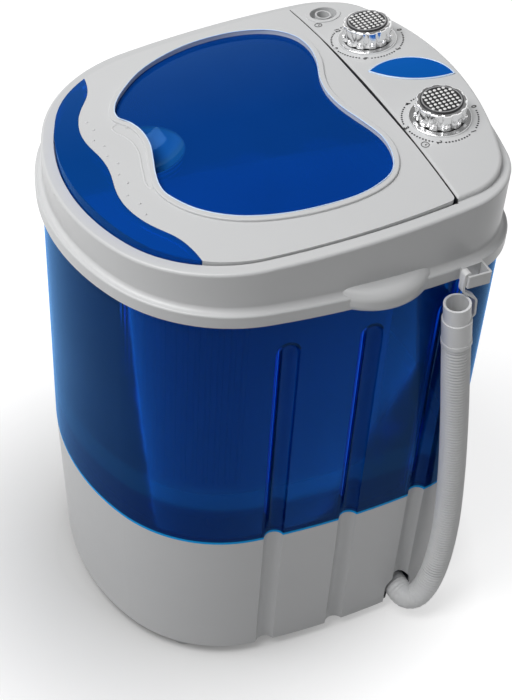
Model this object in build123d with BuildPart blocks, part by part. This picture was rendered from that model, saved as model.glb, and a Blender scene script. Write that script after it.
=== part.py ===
from build123d import *
from collections import namedtuple
from math import atan2, cos, degrees, pi, radians, sin, tan
import os

# A small top-loading washing machine: a white base, a clear blue casing round an inner tub, a white
# top frame with a hinged lid and a control panel, and a ribbed drain hose hooked on its right side.
# Millimetres. +Z is up, the front faces -Y and the hose side is +X. The origin is on the floor, in the
# middle of the machine.

os.makedirs("parts", exist_ok=True)

Plan = namedtuple("Plan", "width depth front nose_radius rear_radius rear_turn")

# Plan of the top frame's ledge: a bowed front, long sides and tighter rear corners
ledge_width = 345.0
ledge_depth = 372.0
ledge_nose_radius = 220.0
ledge_rear_radius = 66.0
ledge_rear_turn = 70.0
nose_turn = 25.0
corner_turn = 57.5
side_turn = 13.5
ledge = Plan(
    ledge_width, ledge_depth, -ledge_depth / 2, ledge_nose_radius, ledge_rear_radius, ledge_rear_turn
)

# Plan shared by the lid and the control panel, inside the ledge
lid_inset = 12.0
lid_rear_inset = 4.4
lid_rear_radius = 48.0
lid_rear_turn = 64.0
lid_plan = Plan(
    ledge_width - 2 * lid_inset,
    ledge_depth - lid_inset - lid_rear_inset,
    ledge.front + lid_inset,
    ledge_nose_radius - lid_inset,
    lid_rear_radius,
    lid_rear_turn,
)

# Heights of the big shells
foot_height = 12.0
joint_height = 173.0
casing_height = 279.0
casing_top = joint_height + casing_height
ledge_height = 501.4
ledge_slope = 4.9
crown_height = 514.0
crown_slope = 5.7
crown_radius = 1250.0

# Walls and clearances
base_wall = 3.0
casing_wall = 2.5
frame_wall = 3.0
tub_wall = 2.5
lid_wall = 2.5
panel_wall = 2.5
fit_gap = 0.3
running_gap = 0.05
reach = 700.0

# Casing and base: how far they stand out from the ledge, and how the front leans back
casing_proud = 2.7
casing_lean = 1.5
foot_proud = 2.1
foot_lean = 8.0
casing_plan = Plan(
    ledge_width + 2 * casing_proud,
    ledge_depth + 2 * casing_proud - casing_lean,
    ledge.front - casing_proud + casing_lean,
    ledge_nose_radius + casing_proud,
    ledge_rear_radius + casing_proud,
    ledge_rear_turn,
)
foot_plan = Plan(
    ledge_width + 2 * foot_proud,
    ledge_depth + 2 * casing_proud - foot_lean,
    ledge.front - casing_proud + foot_lean,
    ledge_nose_radius + foot_proud,
    ledge_rear_radius + foot_proud,
    ledge_rear_turn,
)


def grown(plan, by):
    """The same plan moved outwards by a distance, or inwards where it is negative."""
    return plan._replace(
        width=plan.width + 2 * by,
        depth=plan.depth + 2 * by,
        front=plan.front - by,
        nose_radius=plan.nose_radius + by,
        rear_radius=plan.rear_radius + by,
    )


def plan_arcs(plan):
    """Arcs of the right half, from the front middle to the rear middle: (centre, radius, heading, turn)."""
    h1 = nose_turn
    h2 = h1 + corner_turn
    h3 = h2 + side_turn
    h4 = h3 + plan.rear_turn
    s1, s2, s3, s4 = (sin(radians(h)) for h in (h1, h2, h3, h4))
    c1, c2, c3, c4 = (cos(radians(h)) for h in (h1, h2, h3, h4))
    close = (1 + c4) / s4
    nose = plan.nose_radius
    rear = plan.rear_radius
    # the corner and side radii follow from the width and the depth
    a1 = s2 - s1
    b1 = 1 - s2
    k1 = plan.width / 2 - nose * s1
    a2 = c1 - c2 + close * (s2 - s1)
    b2 = c2 - c3 + close * (s3 - s2)
    k2 = plan.depth - nose * (1 - c1 + close * s1) - rear * (c3 - c4 + close * (s4 - s3))
    corner = (k1 * b2 - k2 * b1) / (a1 * b2 - a2 * b1)
    side = (k2 * a1 - k1 * a2) / (a1 * b2 - a2 * b1)
    end_x = nose * s1 + corner * (s2 - s1) + side * (s3 - s2) + rear * (s4 - s3)
    arcs = []
    x, y, heading = 0.0, plan.front, 0.0
    for radius, stop in ((nose, h1), (corner, h2), (side, h3), (rear, h4), (end_x / s4, 180.0)):
        centre = (x - radius * sin(radians(heading)), y + radius * cos(radians(heading)))
        arcs.append((centre, radius, heading, stop - heading))
        x = centre[0] + radius * sin(radians(stop))
        y = centre[1] - radius * cos(radians(stop))
        heading = stop
    return arcs


def plan_point(plan, heading, inset=0.0):
    """Point of the right half where its edge runs at this heading, moved inwards by the inset."""
    for centre, radius, start, turn in plan_arcs(plan):
        if heading <= start + turn:
            out = radius - inset
            return (centre[0] + out * sin(radians(heading)), centre[1] - out * cos(radians(heading)))


def side_at(plan, y):
    """How far out the long side stands at this place along the machine."""
    centre, radius, heading, turn = plan_arcs(plan)[2]
    return centre[0] + (radius**2 - (y - centre[1]) ** 2) ** 0.5


def both_sides(point):
    """The point and its mirror image across the machine's middle."""
    return [point, (-point[0], point[1])]


def plan_face(plan):
    """Closed face with this plan."""
    with BuildSketch(mode=Mode.PRIVATE) as outline:
        with BuildLine():
            for centre, radius, heading, turn in plan_arcs(plan):
                CenterArc(centre, radius, heading - 90, turn)
            mirror(about=Plane.YZ)
        make_face()
    return outline.sketch


def prism(plan, low, high, front=-reach, rear=reach):
    """Upright block with the given plan, kept between two planes across the machine."""
    with BuildPart(mode=Mode.PRIVATE) as block:
        with BuildSketch(Plane.XY.offset(low)):
            add(plan_face(plan))
            with Locations((0, (front + rear) / 2)):
                Rectangle(reach, rear - front, mode=Mode.INTERSECT)
        extrude(amount=high - low)
    return block.part


def upright(face, low, high):
    """Upright block with the given face as its plan."""
    with BuildPart(mode=Mode.PRIVATE) as block:
        with BuildSketch(Plane.XY.offset(low)):
            add(face)
        extrude(amount=high - low)
    return block.part


def taper_block(low_plan, high_plan, low, high):
    """Block whose plan changes evenly from its foot to its top."""
    with BuildPart(mode=Mode.PRIVATE) as block:
        with BuildSketch(Plane.XY.offset(low)):
            add(plan_face(low_plan))
        with BuildSketch(Plane.XY.offset(high)):
            add(plan_face(high_plan))
        loft(ruled=True)
    return block.part


def tilted_plane(height, slope):
    """Plane through this height above the origin that rises towards the rear."""
    lean = radians(slope)
    return Plane(origin=(0, 0, height), x_dir=(1, 0, 0), z_dir=(0, -sin(lean), cos(lean)))


def ledge_block(drop, above=True):
    """Everything above the ledge's plane, or under it, with the plane lowered by the drop."""
    with BuildPart(mode=Mode.PRIVATE) as block:
        with BuildSketch(tilted_plane(ledge_height - drop, ledge_slope)):
            Rectangle(reach, reach)
        extrude(amount=reach if above else -reach)
    return block.part


def under_crown(drop=0.0):
    """Everything under the crowned top surface of lid and panel, lowered by the drop."""
    uphill = Plane(
        origin=(0, 0, crown_height),
        x_dir=(1, 0, 0),
        z_dir=(0, cos(radians(crown_slope)), sin(radians(crown_slope))),
    )
    with BuildPart(mode=Mode.PRIVATE) as block:
        with BuildSketch(uphill):
            with Locations((0, crown_radius)):
                Circle(crown_radius - drop)
        extrude(amount=reach, both=True)
    return block.part


def crown_at(x, y):
    """Height of the crowned surface above the floor."""
    rise = y * tan(radians(crown_slope))
    fall = crown_radius - (crown_radius**2 - x**2) ** 0.5
    return crown_height + rise - fall / cos(radians(crown_slope))


def crown_plane(x, y, drop=0.0):
    """Plane square to the crowned surface at a point, lowered by the drop."""
    lean = x / crown_radius
    level = (1 - lean**2) ** 0.5
    normal = Vector(lean, -level * sin(radians(crown_slope)), level * cos(radians(crown_slope)))
    origin = Vector(x, y, crown_at(x, y)) - normal * drop
    return Plane(origin=origin, x_dir=(normal.Z, 0, -normal.X), z_dir=normal)


def pillar(x, y, low, high, outer, inner=0.0):
    """Upright tube, or a solid bar where it has no inner radius."""
    with BuildPart(mode=Mode.PRIVATE) as tube:
        with BuildSketch(Plane.XY.offset(low)):
            with Locations((x, y)):
                Circle(outer)
                if inner > 0:
                    Circle(inner, mode=Mode.SUBTRACT)
        extrude(amount=high - low)
    return tube.part


def cross_bar(y, z, left, right, radius):
    """Bar that lies across the machine, between two places along X."""
    with BuildPart(mode=Mode.PRIVATE) as bar:
        with BuildSketch(Plane.YZ.offset(left)):
            with Locations((y, z)):
                Circle(radius)
        extrude(amount=right - left)
    return bar.part


def block_between(low, high):
    """Box between two opposite corners."""
    centre = tuple((a + b) / 2 for a, b in zip(low, high))
    size = [b - a for a, b in zip(low, high)]
    with BuildPart(mode=Mode.PRIVATE) as box:
        with Locations(centre):
            Box(*size)
    return box.part


def finish(builder, name):
    """Label a finished piece and write it."""
    builder.part.label = name
    export_step(builder.part, f"parts/{name}.step")


# Three upright flutes in each side, domed at the top
flute_pitch = 75.0
flute_middle_y = 27.8
flute_width = 19.0
flute_depth = 6.5
flute_top = 413.5
flute_radius = (flute_width**2 / 4 + flute_depth**2) / (2 * flute_depth)
flute_ys = [flute_middle_y + step * flute_pitch for step in (-1, 0, 1)]
flute_centres = [(side_at(casing_plan, y) - flute_depth + flute_radius, y) for y in flute_ys]


def flute_bars(extra, low, high, domed=False):
    """Upright bars that press the flutes into both sides, thicker than the flutes by the extra."""
    radius = flute_radius + extra
    with BuildPart(mode=Mode.PRIVATE) as bars:
        for centre in flute_centres:
            for x, y in both_sides(centre):
                with BuildSketch(Plane.XY.offset(low)):
                    with Locations((x, y)):
                        Circle(radius)
                extrude(amount=high - low)
                if domed:
                    with Locations((x, y, high)):
                        Sphere(radius)
    return bars.part


# Base housing: a white moulded skirt with a shelf inside, which carries everything else
shelf_height = 158.0
shelf_thickness = 3.0
shelf_top = shelf_height + shelf_thickness
shelf_width = 62.0
lip_height = 8.0
lip_wall = 2.0
boss_radius = 6.0
boss_inset = 9.0
boss_length = 45.0
boss_headings = (20.0, 88.5, 152.0)
plate_thickness = 2.5
plate_top = foot_height + plate_thickness
screw_radius = 1.6
hose_exit_y = 101.0
hose_exit_z = 28.0
hose_radius = 12.75
notch_radius = 15.0
notch_rise = 32.0
gland_height = 60.0
gland_radius = 7.0
boss_points = [
    point
    for heading in boss_headings
    for point in both_sides(plan_point(foot_plan, heading, base_wall + boss_inset))
]
lip_outset = casing_wall + fit_gap

base_outside = taper_block(foot_plan, casing_plan, foot_height, joint_height)
base_inside = taper_block(
    grown(foot_plan, -base_wall), grown(casing_plan, -base_wall), foot_height, joint_height
)
base_flutes = flute_bars(0, foot_height - 1, joint_height)
base_inner_flutes = flute_bars(base_wall, foot_height - 1, joint_height)
shelf_block = prism(grown(casing_plan, 1 - base_wall), shelf_height, shelf_top)
shelf_hole = prism(grown(casing_plan, -base_wall - shelf_width), shelf_height - 1, shelf_top + 1)
lip_outside = prism(grown(casing_plan, -lip_outset), shelf_height, joint_height + lip_height)
lip_inside = prism(grown(casing_plan, -lip_outset - lip_wall), shelf_height, joint_height + lip_height)
lip_flutes = flute_bars(lip_outset, joint_height, joint_height + lip_height)
lip_inner_flutes = flute_bars(lip_outset + lip_wall, shelf_height, joint_height + lip_height)
rear_wall_y = foot_plan.front + foot_plan.depth

with BuildPart() as base_space:
    add(base_inside)
    add(base_inner_flutes, mode=Mode.SUBTRACT)

with BuildPart() as lip_space:
    add(lip_inside)
    add(lip_inner_flutes, mode=Mode.SUBTRACT)

with BuildPart() as base_housing:
    add(base_outside)
    add(base_space.part, mode=Mode.SUBTRACT)
    add(lip_outside)
    add(lip_space.part, mode=Mode.SUBTRACT)
    add(shelf_block)
    add(shelf_hole, mode=Mode.SUBTRACT)
    # screw bosses for the bottom plate, each joined to the skirt by a web
    for px, py in boss_points:
        with BuildSketch(Plane.XY.offset(plate_top)):
            with Locations((px, py)):
                Circle(boss_radius)
            with Locations(Location((px, py), degrees(atan2(py, px)))):
                Rectangle(boss_inset + base_wall, base_wall, align=(Align.MIN, Align.CENTER))
        extrude(amount=boss_length)
        with BuildSketch(Plane.XY.offset(plate_top)):
            with Locations((px, py)):
                Circle(screw_radius + running_gap)
        extrude(amount=boss_length / 2, mode=Mode.SUBTRACT)
    add(base_flutes, mode=Mode.SUBTRACT)
    add(lip_flutes, mode=Mode.SUBTRACT)
    # arched notch at the foot of the right rear flute, where the hose comes out
    with BuildSketch(Plane.YZ.offset(flute_centres[2][0] - flute_radius - 2 * base_wall)):
        with Locations((hose_exit_y, notch_rise)):
            Circle(notch_radius)
        with Locations((hose_exit_y, notch_rise)):
            Rectangle(2 * notch_radius, notch_rise, align=(Align.CENTER, Align.MAX))
    extrude(amount=reach, mode=Mode.SUBTRACT)
    # hole in the rear wall for the cord's gland
    with BuildSketch(Plane.XZ.offset(-rear_wall_y + 2 * base_wall)):
        with Locations((0, gland_height)):
            Circle(gland_radius + running_gap)
    extrude(amount=-4 * base_wall, mode=Mode.SUBTRACT)
finish(base_housing, "base_housing")

# Bottom plate: closes the base, with cooling slots under the fan and a hole for each foot's stud
foot_radius = 13.0
foot_stud_radius = 3.0
foot_stud_length = 10.0
foot_inset = 15.0
foot_edge = 1.5
motor_y = 44.0
slot_width = 4.0
slot_length = 56.0
slot_pitch = 9.0
slot_count = 7
screw_head_radius = 3.6
screw_head_height = 1.4
foot_points = {
    f"foot_{end}_{side}": (sign * plan_point(foot_plan, heading, foot_inset + base_wall)[0],
                           plan_point(foot_plan, heading, foot_inset + base_wall)[1])
    for end, heading in (("front", 50.0), ("rear", 125.0))
    for side, sign in (("left", -1), ("right", 1))
}
bottom_block = prism(grown(foot_plan, -base_wall - fit_gap), foot_height, plate_top)
bottom_flutes = flute_bars(base_wall + fit_gap, foot_height - 1, plate_top + 1)

with BuildPart() as bottom_plate:
    add(bottom_block)
    add(bottom_flutes, mode=Mode.SUBTRACT)
    with BuildSketch(Plane.XY.offset(foot_height)):
        with Locations((0, motor_y)):
            with GridLocations(slot_pitch, 1, slot_count, 1):
                SlotOverall(slot_length, slot_width, rotation=90)
        for point in boss_points:
            with Locations(point):
                Circle(screw_radius + fit_gap)
        for point in foot_points.values():
            with Locations(point):
                Circle(foot_stud_radius + running_gap)
    extrude(amount=plate_thickness, mode=Mode.SUBTRACT)
finish(bottom_plate, "bottom_plate")

with BuildPart() as base_screws:
    for point in boss_points:
        with BuildSketch(Plane.XY.offset(foot_height - screw_head_height)):
            with Locations(point):
                Circle(screw_head_radius)
        extrude(amount=screw_head_height)
        with BuildSketch(Plane.XY.offset(foot_height)):
            with Locations(point):
                Circle(screw_radius)
        extrude(amount=plate_thickness + boss_length / 3)
finish(base_screws, "base_screws")

# Rubber feet, each with a stud up through the bottom plate
for name, point in foot_points.items():
    with BuildPart() as foot:
        with BuildSketch():
            with Locations(point):
                Circle(foot_radius)
        extrude(amount=foot_height)
        chamfer(foot.faces().sort_by(Axis.Z)[0].edges(), foot_edge)
        with BuildSketch(Plane.XY.offset(foot_height)):
            with Locations(point):
                Circle(foot_stud_radius)
        extrude(amount=foot_stud_length)
    finish(foot, name)

# Gland in the rear wall, where the mains cord goes in
gland_flange_radius = 10.0
gland_flange = 2.5
gland_bore = 3.6
gland_depth = 12.0
with BuildPart() as cord_gland:
    with BuildSketch(Plane.XZ.offset(-rear_wall_y)):
        with Locations((0, gland_height)):
            Circle(gland_flange_radius)
    extrude(amount=-gland_flange)
    with BuildSketch(Plane.XZ.offset(-rear_wall_y)):
        with Locations((0, gland_height)):
            Circle(gland_radius)
    extrude(amount=gland_depth)
    with BuildSketch(Plane.XZ.offset(-rear_wall_y - gland_flange)):
        with Locations((0, gland_height)):
            Circle(gland_bore)
    extrude(amount=gland_depth + gland_flange, mode=Mode.SUBTRACT)
    fillet(cord_gland.faces().sort_by(Axis.Y)[-1].edges().sort_by(SortBy.RADIUS)[-1], 1)
finish(cord_gland, "cord_gland")

# Outer casing: clear blue, fluted, standing on the base round its lip
casing_outside = prism(casing_plan, joint_height, casing_top)
casing_inside = prism(grown(casing_plan, -casing_wall), joint_height - 1, casing_top + 1)
casing_flutes = flute_bars(0, joint_height - 1, flute_top - flute_width / 2, domed=True)
casing_inner_flutes = flute_bars(casing_wall, joint_height - 1, flute_top - flute_width / 2, domed=True)

with BuildPart() as casing_space:
    add(casing_inside)
    add(casing_inner_flutes, mode=Mode.SUBTRACT)

with BuildPart() as outer_casing:
    add(casing_outside)
    add(casing_space.part, mode=Mode.SUBTRACT)
    add(casing_flutes, mode=Mode.SUBTRACT)
finish(outer_casing, "outer_casing")

# Wash tub: one moulding with washboard corners, hung inside the casing on four legs
tub_inset = 14.0
tub_rear = 80.5
tub_rear_corner = 55.0
tub_bottom = 188.0
tub_bottom_round = 40.0
tub_rim_drop = 7.3
axis_y = -46.0
drain_x = 95.0
drain_y = 20.0
spout_radius = 7.5
spout_bore = 5.5
spout_length = 16.0
seal_radius = 8.7
leg_radius = 8.0
leg_x = 125.0
leg_ys = (-86.0, 14.0)
mount_x = 62.0
mount_ys = (4.0, 70.0)
mount_boss_radius = 8.0
mount_bottom = 126.5
mount_thickness = 8.0
mount_bore = 2.1
rib_radius = 2.6
rib_first_heading = 12.0
rib_last_heading = 76.0
rib_count = 14
rib_bottom = 240.0
rib_top = 440.0
cup_x = -129.0
cup_y = 121.0
inlet_height = 462.0
inlet_radius = 7.5
inlet_bore = 5.5
trough_front = 68.0
trough_floor = 493.0
mount_points = [(sign * mount_x, y) for y in mount_ys for sign in (-1, 1)]
leg_points = [(sign * leg_x, y) for y in leg_ys for sign in (-1, 1)]


def tub_face(inset):
    """Plan of the tub, moved inwards by the inset: the front of the ledge's plan and a straight rear."""
    with BuildSketch(mode=Mode.PRIVATE) as outline:
        add(plan_face(grown(ledge, -tub_inset - inset)))
        with Locations((0, tub_rear - inset - reach / 2)):
            Rectangle(reach, reach, mode=Mode.INTERSECT)
        fillet(outline.vertices().group_by(Axis.Y)[-1], tub_rear_corner - inset)
    return outline.sketch


def tub_block(inset, low, rounding):
    """Block in the tub's plan with a rounded bottom."""
    with BuildPart(mode=Mode.PRIVATE) as block:
        with BuildSketch(Plane.XY.offset(low)):
            add(tub_face(inset))
        extrude(amount=reach - low)
        fillet(block.faces().sort_by(Axis.Z)[0].edges(), rounding)
    return block.part


tub_outside = tub_block(0, tub_bottom, tub_bottom_round)
tub_inside = tub_block(tub_wall, tub_bottom + tub_wall, tub_bottom_round - tub_wall)
tub_plan = grown(ledge, -tub_inset)
rib_turn = (rib_last_heading - rib_first_heading) / (rib_count - 1)
rib_points = [
    point
    for rib in range(rib_count)
    for point in both_sides(plan_point(tub_plan, rib_first_heading + rib * rib_turn))
]
tub_above_rim = ledge_block(tub_rim_drop)
tub_above_trough = block_between(
    (-reach, trough_front - frame_wall - fit_gap, trough_floor - frame_wall - fit_gap), (reach, reach, reach)
)

with BuildPart() as wash_tub:
    add(tub_outside)
    # washboard ribs up the rounded front corners, with domed ends
    for point in rib_points:
        with BuildSketch(Plane.XY.offset(rib_bottom)):
            with Locations(point):
                Circle(rib_radius)
        extrude(amount=rib_top - rib_bottom)
        with Locations((point[0], point[1], rib_bottom), (point[0], point[1], rib_top)):
            Sphere(rib_radius)
    # legs down to the shelf, and bosses down to the motor's rubber mounts
    for points, radius, low in (
        (leg_points, leg_radius, shelf_top),
        (mount_points, mount_boss_radius, mount_bottom + mount_thickness),
    ):
        for point in points:
            with BuildSketch(Plane.XY.offset(low)):
                with Locations(point):
                    Circle(radius)
            extrude(amount=tub_bottom + tub_bottom_round - low)
    # drain spout
    with BuildSketch(Plane.XY.offset(tub_bottom - spout_length)):
        with Locations((drain_x, drain_y)):
            Circle(spout_radius)
    extrude(amount=spout_length)
    add(tub_inside, mode=Mode.SUBTRACT)
    with BuildSketch(Plane.XY.offset(tub_bottom - spout_length)):
        with Locations((drain_x, drain_y)):
            Circle(spout_bore)
    extrude(amount=2 * spout_length, mode=Mode.SUBTRACT)
    with BuildSketch(Plane.XY.offset(tub_bottom - 1)):
        with Locations((0, axis_y)):
            Circle(seal_radius + running_gap)
    extrude(amount=2 * tub_wall, mode=Mode.SUBTRACT)
    # hole in the rear corner for the water inlet
    with BuildSketch(Plane.XZ.offset(-tub_rear - 2)):
        with Locations((cup_x, inlet_height)):
            Circle(inlet_bore)
    extrude(amount=tub_rear_corner / 2, mode=Mode.SUBTRACT)
    add(tub_above_rim, mode=Mode.SUBTRACT)
    add(tub_above_trough, mode=Mode.SUBTRACT)
finish(wash_tub, "wash_tub")

# Skirt: a sloping clear blue band that goes round the tub above its rounded bottom
skirt_bottom = 198.0
skirt_height = 26.0
skirt_edge = 2.0
skirt_slope = 9.0
skirt_foot = skirt_edge + skirt_height * tan(radians(skirt_slope))
with BuildPart() as tub_skirt:
    with BuildSketch(Plane.XY.offset(skirt_bottom)):
        add(tub_face(-skirt_foot))
    extrude(amount=skirt_height, taper=skirt_slope)
    with BuildSketch(Plane.XY.offset(skirt_bottom)):
        add(tub_face(-fit_gap))
    extrude(amount=skirt_height, mode=Mode.SUBTRACT)
finish(tub_skirt, "tub_skirt")

# Top frame: a flared flange round the casing, a band up to the sloping ledge, a recess for the lid,
# a trough for the hinges behind it and a collar that hangs inside the tub's mouth
flange_proud = 6.8
flange_height = 12.0
flange_bottom = 444.0
flange_top = flange_bottom + flange_height
flange_rounding = 1.8
cove_radius = 4.5
ledge_rounding = 2.5
lid_gap = 1.0
recess_depth = 4.0
panel_front = 100.6
collar_gap = 0.5
collar_wall = 2.5
collar_bottom = 470.0
compartment_inset = 5.0
hinge_y = 80.6
hinge_z = 513.4
pin_radius = 1.75
knuckle_radius = 4.5
knuckle_inner_x = 26.0
knuckle_outer_x = 36.0
ear_wall = 3.7
ledge_radii = [arc[1] for arc in plan_arcs(ledge)]
ears = [
    (sign * x, sign * (x + ear_wall))
    for sign in (-1, 1)
    for x in (knuckle_inner_x - fit_gap - ear_wall, knuckle_outer_x + fit_gap)
]

frame_band = prism(ledge, casing_top, reach)
frame_flange = prism(grown(ledge, flange_proud), flange_bottom, flange_top)
above_ledge = ledge_block(0)
with BuildPart() as frame_outside:
    add(frame_flange)
    fillet(frame_outside.faces().sort_by(Axis.Z)[-1].edges(), flange_rounding)
    add(frame_band)
    corner_edges = [
        edge
        for edge in frame_outside.edges().filter_by_position(Axis.Z, flange_top - 0.01, flange_top + 0.01)
        if any(abs(edge.radius - radius) < 0.1 for radius in ledge_radii)
    ]
    fillet(corner_edges, cove_radius)
    add(above_ledge, mode=Mode.SUBTRACT)
    fillet(frame_outside.faces().sort_by(Axis.Z)[-1].edges(), ledge_rounding)

frame_inside = prism(grown(ledge, -frame_wall), flange_bottom - 1, reach)
frame_above_deck = ledge_block(frame_wall)
tray_outside = prism(grown(lid_plan, lid_gap + frame_wall), casing_top, reach, rear=panel_front + frame_wall)
tray_under = ledge_block(recess_depth + frame_wall, above=False)
trough_outside = prism(
    grown(lid_plan, lid_gap + frame_wall),
    trough_floor - frame_wall,
    reach,
    front=trough_front - frame_wall,
    rear=panel_front + frame_wall,
)
with BuildPart() as tray:
    add(tray_outside)
    add(tray_under, mode=Mode.SUBTRACT)
    add(trough_outside)

with BuildPart() as frame_space:
    add(frame_inside)
    add(frame_above_deck, mode=Mode.SUBTRACT)
    add(tray.part, mode=Mode.SUBTRACT)

flange_space = prism(grown(casing_plan, fit_gap), flange_bottom - 1, casing_top)
collar_outside = upright(tub_face(tub_wall + collar_gap), collar_bottom, reach)
mouth = upright(tub_face(tub_wall + collar_gap + collar_wall), collar_bottom - 1, reach)
lid_recess = prism(grown(lid_plan, lid_gap), casing_top, reach, rear=panel_front)
recess_under = ledge_block(recess_depth, above=False)
trough = prism(grown(lid_plan, lid_gap), trough_floor, reach, front=trough_front, rear=panel_front)
compartment = prism(
    grown(lid_plan, -compartment_inset), collar_bottom, reach, front=panel_front + frame_wall
)
with BuildPart() as recess:
    add(lid_recess)
    add(recess_under, mode=Mode.SUBTRACT)
    add(trough)

with BuildPart() as top_frame:
    add(frame_outside.part)
    add(frame_space.part, mode=Mode.SUBTRACT)
    add(flange_space, mode=Mode.SUBTRACT)
    add(collar_outside)
    add(recess.part, mode=Mode.SUBTRACT)
    add(mouth, mode=Mode.SUBTRACT)
    add(compartment, mode=Mode.SUBTRACT)
    # two pairs of hinge ears stand on the trough's floor
    for start, stop in ears:
        with BuildSketch(Plane.YZ.offset(min(start, stop))):
            with Locations((hinge_y, hinge_z)):
                Circle(knuckle_radius)
                Rectangle(knuckle_radius, hinge_z - trough_floor, align=(Align.MAX, Align.MAX))
                Circle(pin_radius + running_gap, mode=Mode.SUBTRACT)
        extrude(amount=ear_wall)
finish(top_frame, "top_frame")

# Hinge pins, fixed in the ears
pin_overhang = 1.0
for side, sign in (("left", -1), ("right", 1)):
    inner = knuckle_inner_x - fit_gap - ear_wall - pin_overhang
    outer = knuckle_outer_x + fit_gap + ear_wall + pin_overhang
    with BuildPart() as hinge_pin:
        with BuildSketch(Plane.YZ.offset(min(sign * inner, sign * outer))):
            with Locations((hinge_y, hinge_z)):
                Circle(pin_radius)
        extrude(amount=outer - inner)
    finish(hinge_pin, f"hinge_pin_{side}")

# Grips: a rounded handle on each side of the flange, hollowed underneath for the fingers
grip_y = 35.0
grip_length = 84.0
grip_reach = 191.0
grip_bottom = 440.0
grip_top = 462.0
grip_rounding = 9.5
grip_wall = 4.0
grip_hollow_height = 16.0
grip_back_wall = 1.2
grip_root = side_at(ledge, grip_y)
grip_rise = grip_reach - grip_root
grip_radius = ((grip_length / 2) ** 2 + grip_rise**2) / (2 * grip_rise)
under_flange = prism(grown(casing_plan, fit_gap), grip_bottom - 1, flange_bottom)
hollow_stop = prism(grown(ledge, flange_proud + grip_back_wall), grip_bottom - 1, grip_top)
for side, sign in (("left", -1), ("right", 1)):
    with BuildPart() as grip_hollow:
        with BuildSketch(Plane.XY.offset(grip_bottom)):
            with Locations((sign * (grip_reach - grip_radius), grip_y)):
                Circle(grip_radius - grip_wall)
            with Locations((sign * grip_reach, grip_y)):
                Rectangle(4 * grip_rise, grip_length, mode=Mode.INTERSECT)
        extrude(amount=grip_hollow_height)
        add(hollow_stop, mode=Mode.SUBTRACT)
    with BuildPart() as grip:
        with BuildSketch(Plane.XY.offset(grip_bottom)):
            with Locations((sign * (grip_reach - grip_radius), grip_y)):
                Circle(grip_radius)
            with Locations((sign * grip_reach, grip_y)):
                Rectangle(3 * grip_rise, grip_length + 2 * flange_proud, mode=Mode.INTERSECT)
        extrude(amount=grip_top - grip_bottom)
        outer_face = grip.faces().filter_by(GeomType.CYLINDER).sort_by(Axis.X)[0 if sign < 0 else -1]
        fillet(outer_face.edges().filter_by(GeomType.CIRCLE), grip_rounding)
        add(frame_outside.part, mode=Mode.SUBTRACT)
        add(under_flange, mode=Mode.SUBTRACT)
        add(grip_hollow.part, mode=Mode.SUBTRACT)
    finish(grip, f"grip_{side}")

# Bracket on the right of the flange: a short rectangular loop that the hose's hook hangs over
loop_front = 102.0
loop_rear = 124.0
loop_reach = 190.5
loop_wall = 2.0
loop_hollow = prism(grown(ledge, flange_proud + loop_wall), flange_bottom - 1, flange_top + 1)
with BuildPart() as loop_slot:
    with BuildSketch(Plane.XY.offset(flange_bottom)):
        with Locations((loop_reach - loop_wall, (loop_front + loop_rear) / 2)):
            Rectangle(
                loop_reach - ledge_width / 2, loop_rear - loop_front - 2 * loop_wall,
                align=(Align.MAX, Align.CENTER),
            )
    extrude(amount=flange_height)
    add(loop_hollow, mode=Mode.SUBTRACT)

with BuildPart() as hose_bracket:
    with BuildSketch(Plane.XY.offset(flange_bottom)):
        with Locations((loop_reach, (loop_front + loop_rear) / 2)):
            Rectangle(
                2 * (loop_reach - ledge_width / 2), loop_rear - loop_front, align=(Align.MAX, Align.CENTER)
            )
    extrude(amount=flange_height)
    fillet(hose_bracket.edges().filter_by(Axis.Z).sort_by(Axis.X)[-2:], 1.5)
    add(frame_outside.part, mode=Mode.SUBTRACT)
    add(loop_slot.part, mode=Mode.SUBTRACT)
finish(hose_bracket, "hose_bracket")

# Outlines on the lid: the window, the finger pocket and the inner edge of the front crescent
window_points = [
    (-58, -109), (-75, -105), (-96, -90), (-120, -64), (-136, -32), (-143, 0), (-140, 36), (-126, 64),
    (-104, 79), (-78, 82), (-52, 77), (-28, 68), (-4, 64), (20, 66), (46, 73), (70, 78), (94, 75),
    (112, 64), (122, 40), (124, 12), (119, -30), (106, -67), (86, -93), (62, -108), (47, -111),
    (30, -108.5), (12, -103.5), (-8, -98.5), (-28, -98), (-44, -102),
]
crescent_points = [
    (-176, -112), (-134, -112), (-104, -121), (-88, -131.5), (-72, -139.5), (-52, -144.5), (-34, -144.5),
    (-12, -141), (12, -141), (34, -144.5), (52, -144.5), (72, -139.5), (88, -131.5), (104, -121),
    (134, -112), (176, -112),
]
pocket_x = -8.0
pocket_y = -104.0
pocket_radius = 34.0
pocket_sphere = 45.0
pocket_wall = 2.0
bead_width = 5.0
bead_height = 2.2
bead_rounding = 1.0
sheet_drop = 2.7
sheet_wall = 2.5
sheet_overlap = 4.0
lid_rear_gap = 2.0
lid_rear = panel_front - lid_rear_gap
lid_swing_radius = 19.4
lid_shallow_front = 74.0
lid_shallow_depth = 4.5
lid_edge_rounding = 4.5
crescent_gap = 0.2
seat_width = 5.0
seat_wall = 2.0


def shifted(points, by, closed):
    """Points of an outline moved square to it, to the left of the way it runs."""
    moved = []
    for place, (x, y) in enumerate(points):
        before = points[place - 1] if closed or place > 0 else points[0]
        after = points[(place + 1) % len(points)] if closed or place < len(points) - 1 else points[-1]
        dx, dy = after[0] - before[0], after[1] - before[1]
        length = (dx**2 + dy**2) ** 0.5
        moved.append((x - by * dy / length, y + by * dx / length))
    return moved


def window_face(growth):
    """Face inside the window's outline, grown outwards."""
    with BuildSketch(mode=Mode.PRIVATE) as outline:
        with BuildLine():
            Spline(*shifted(window_points, growth, True), periodic=True)
        make_face()
    return outline.sketch


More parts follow.
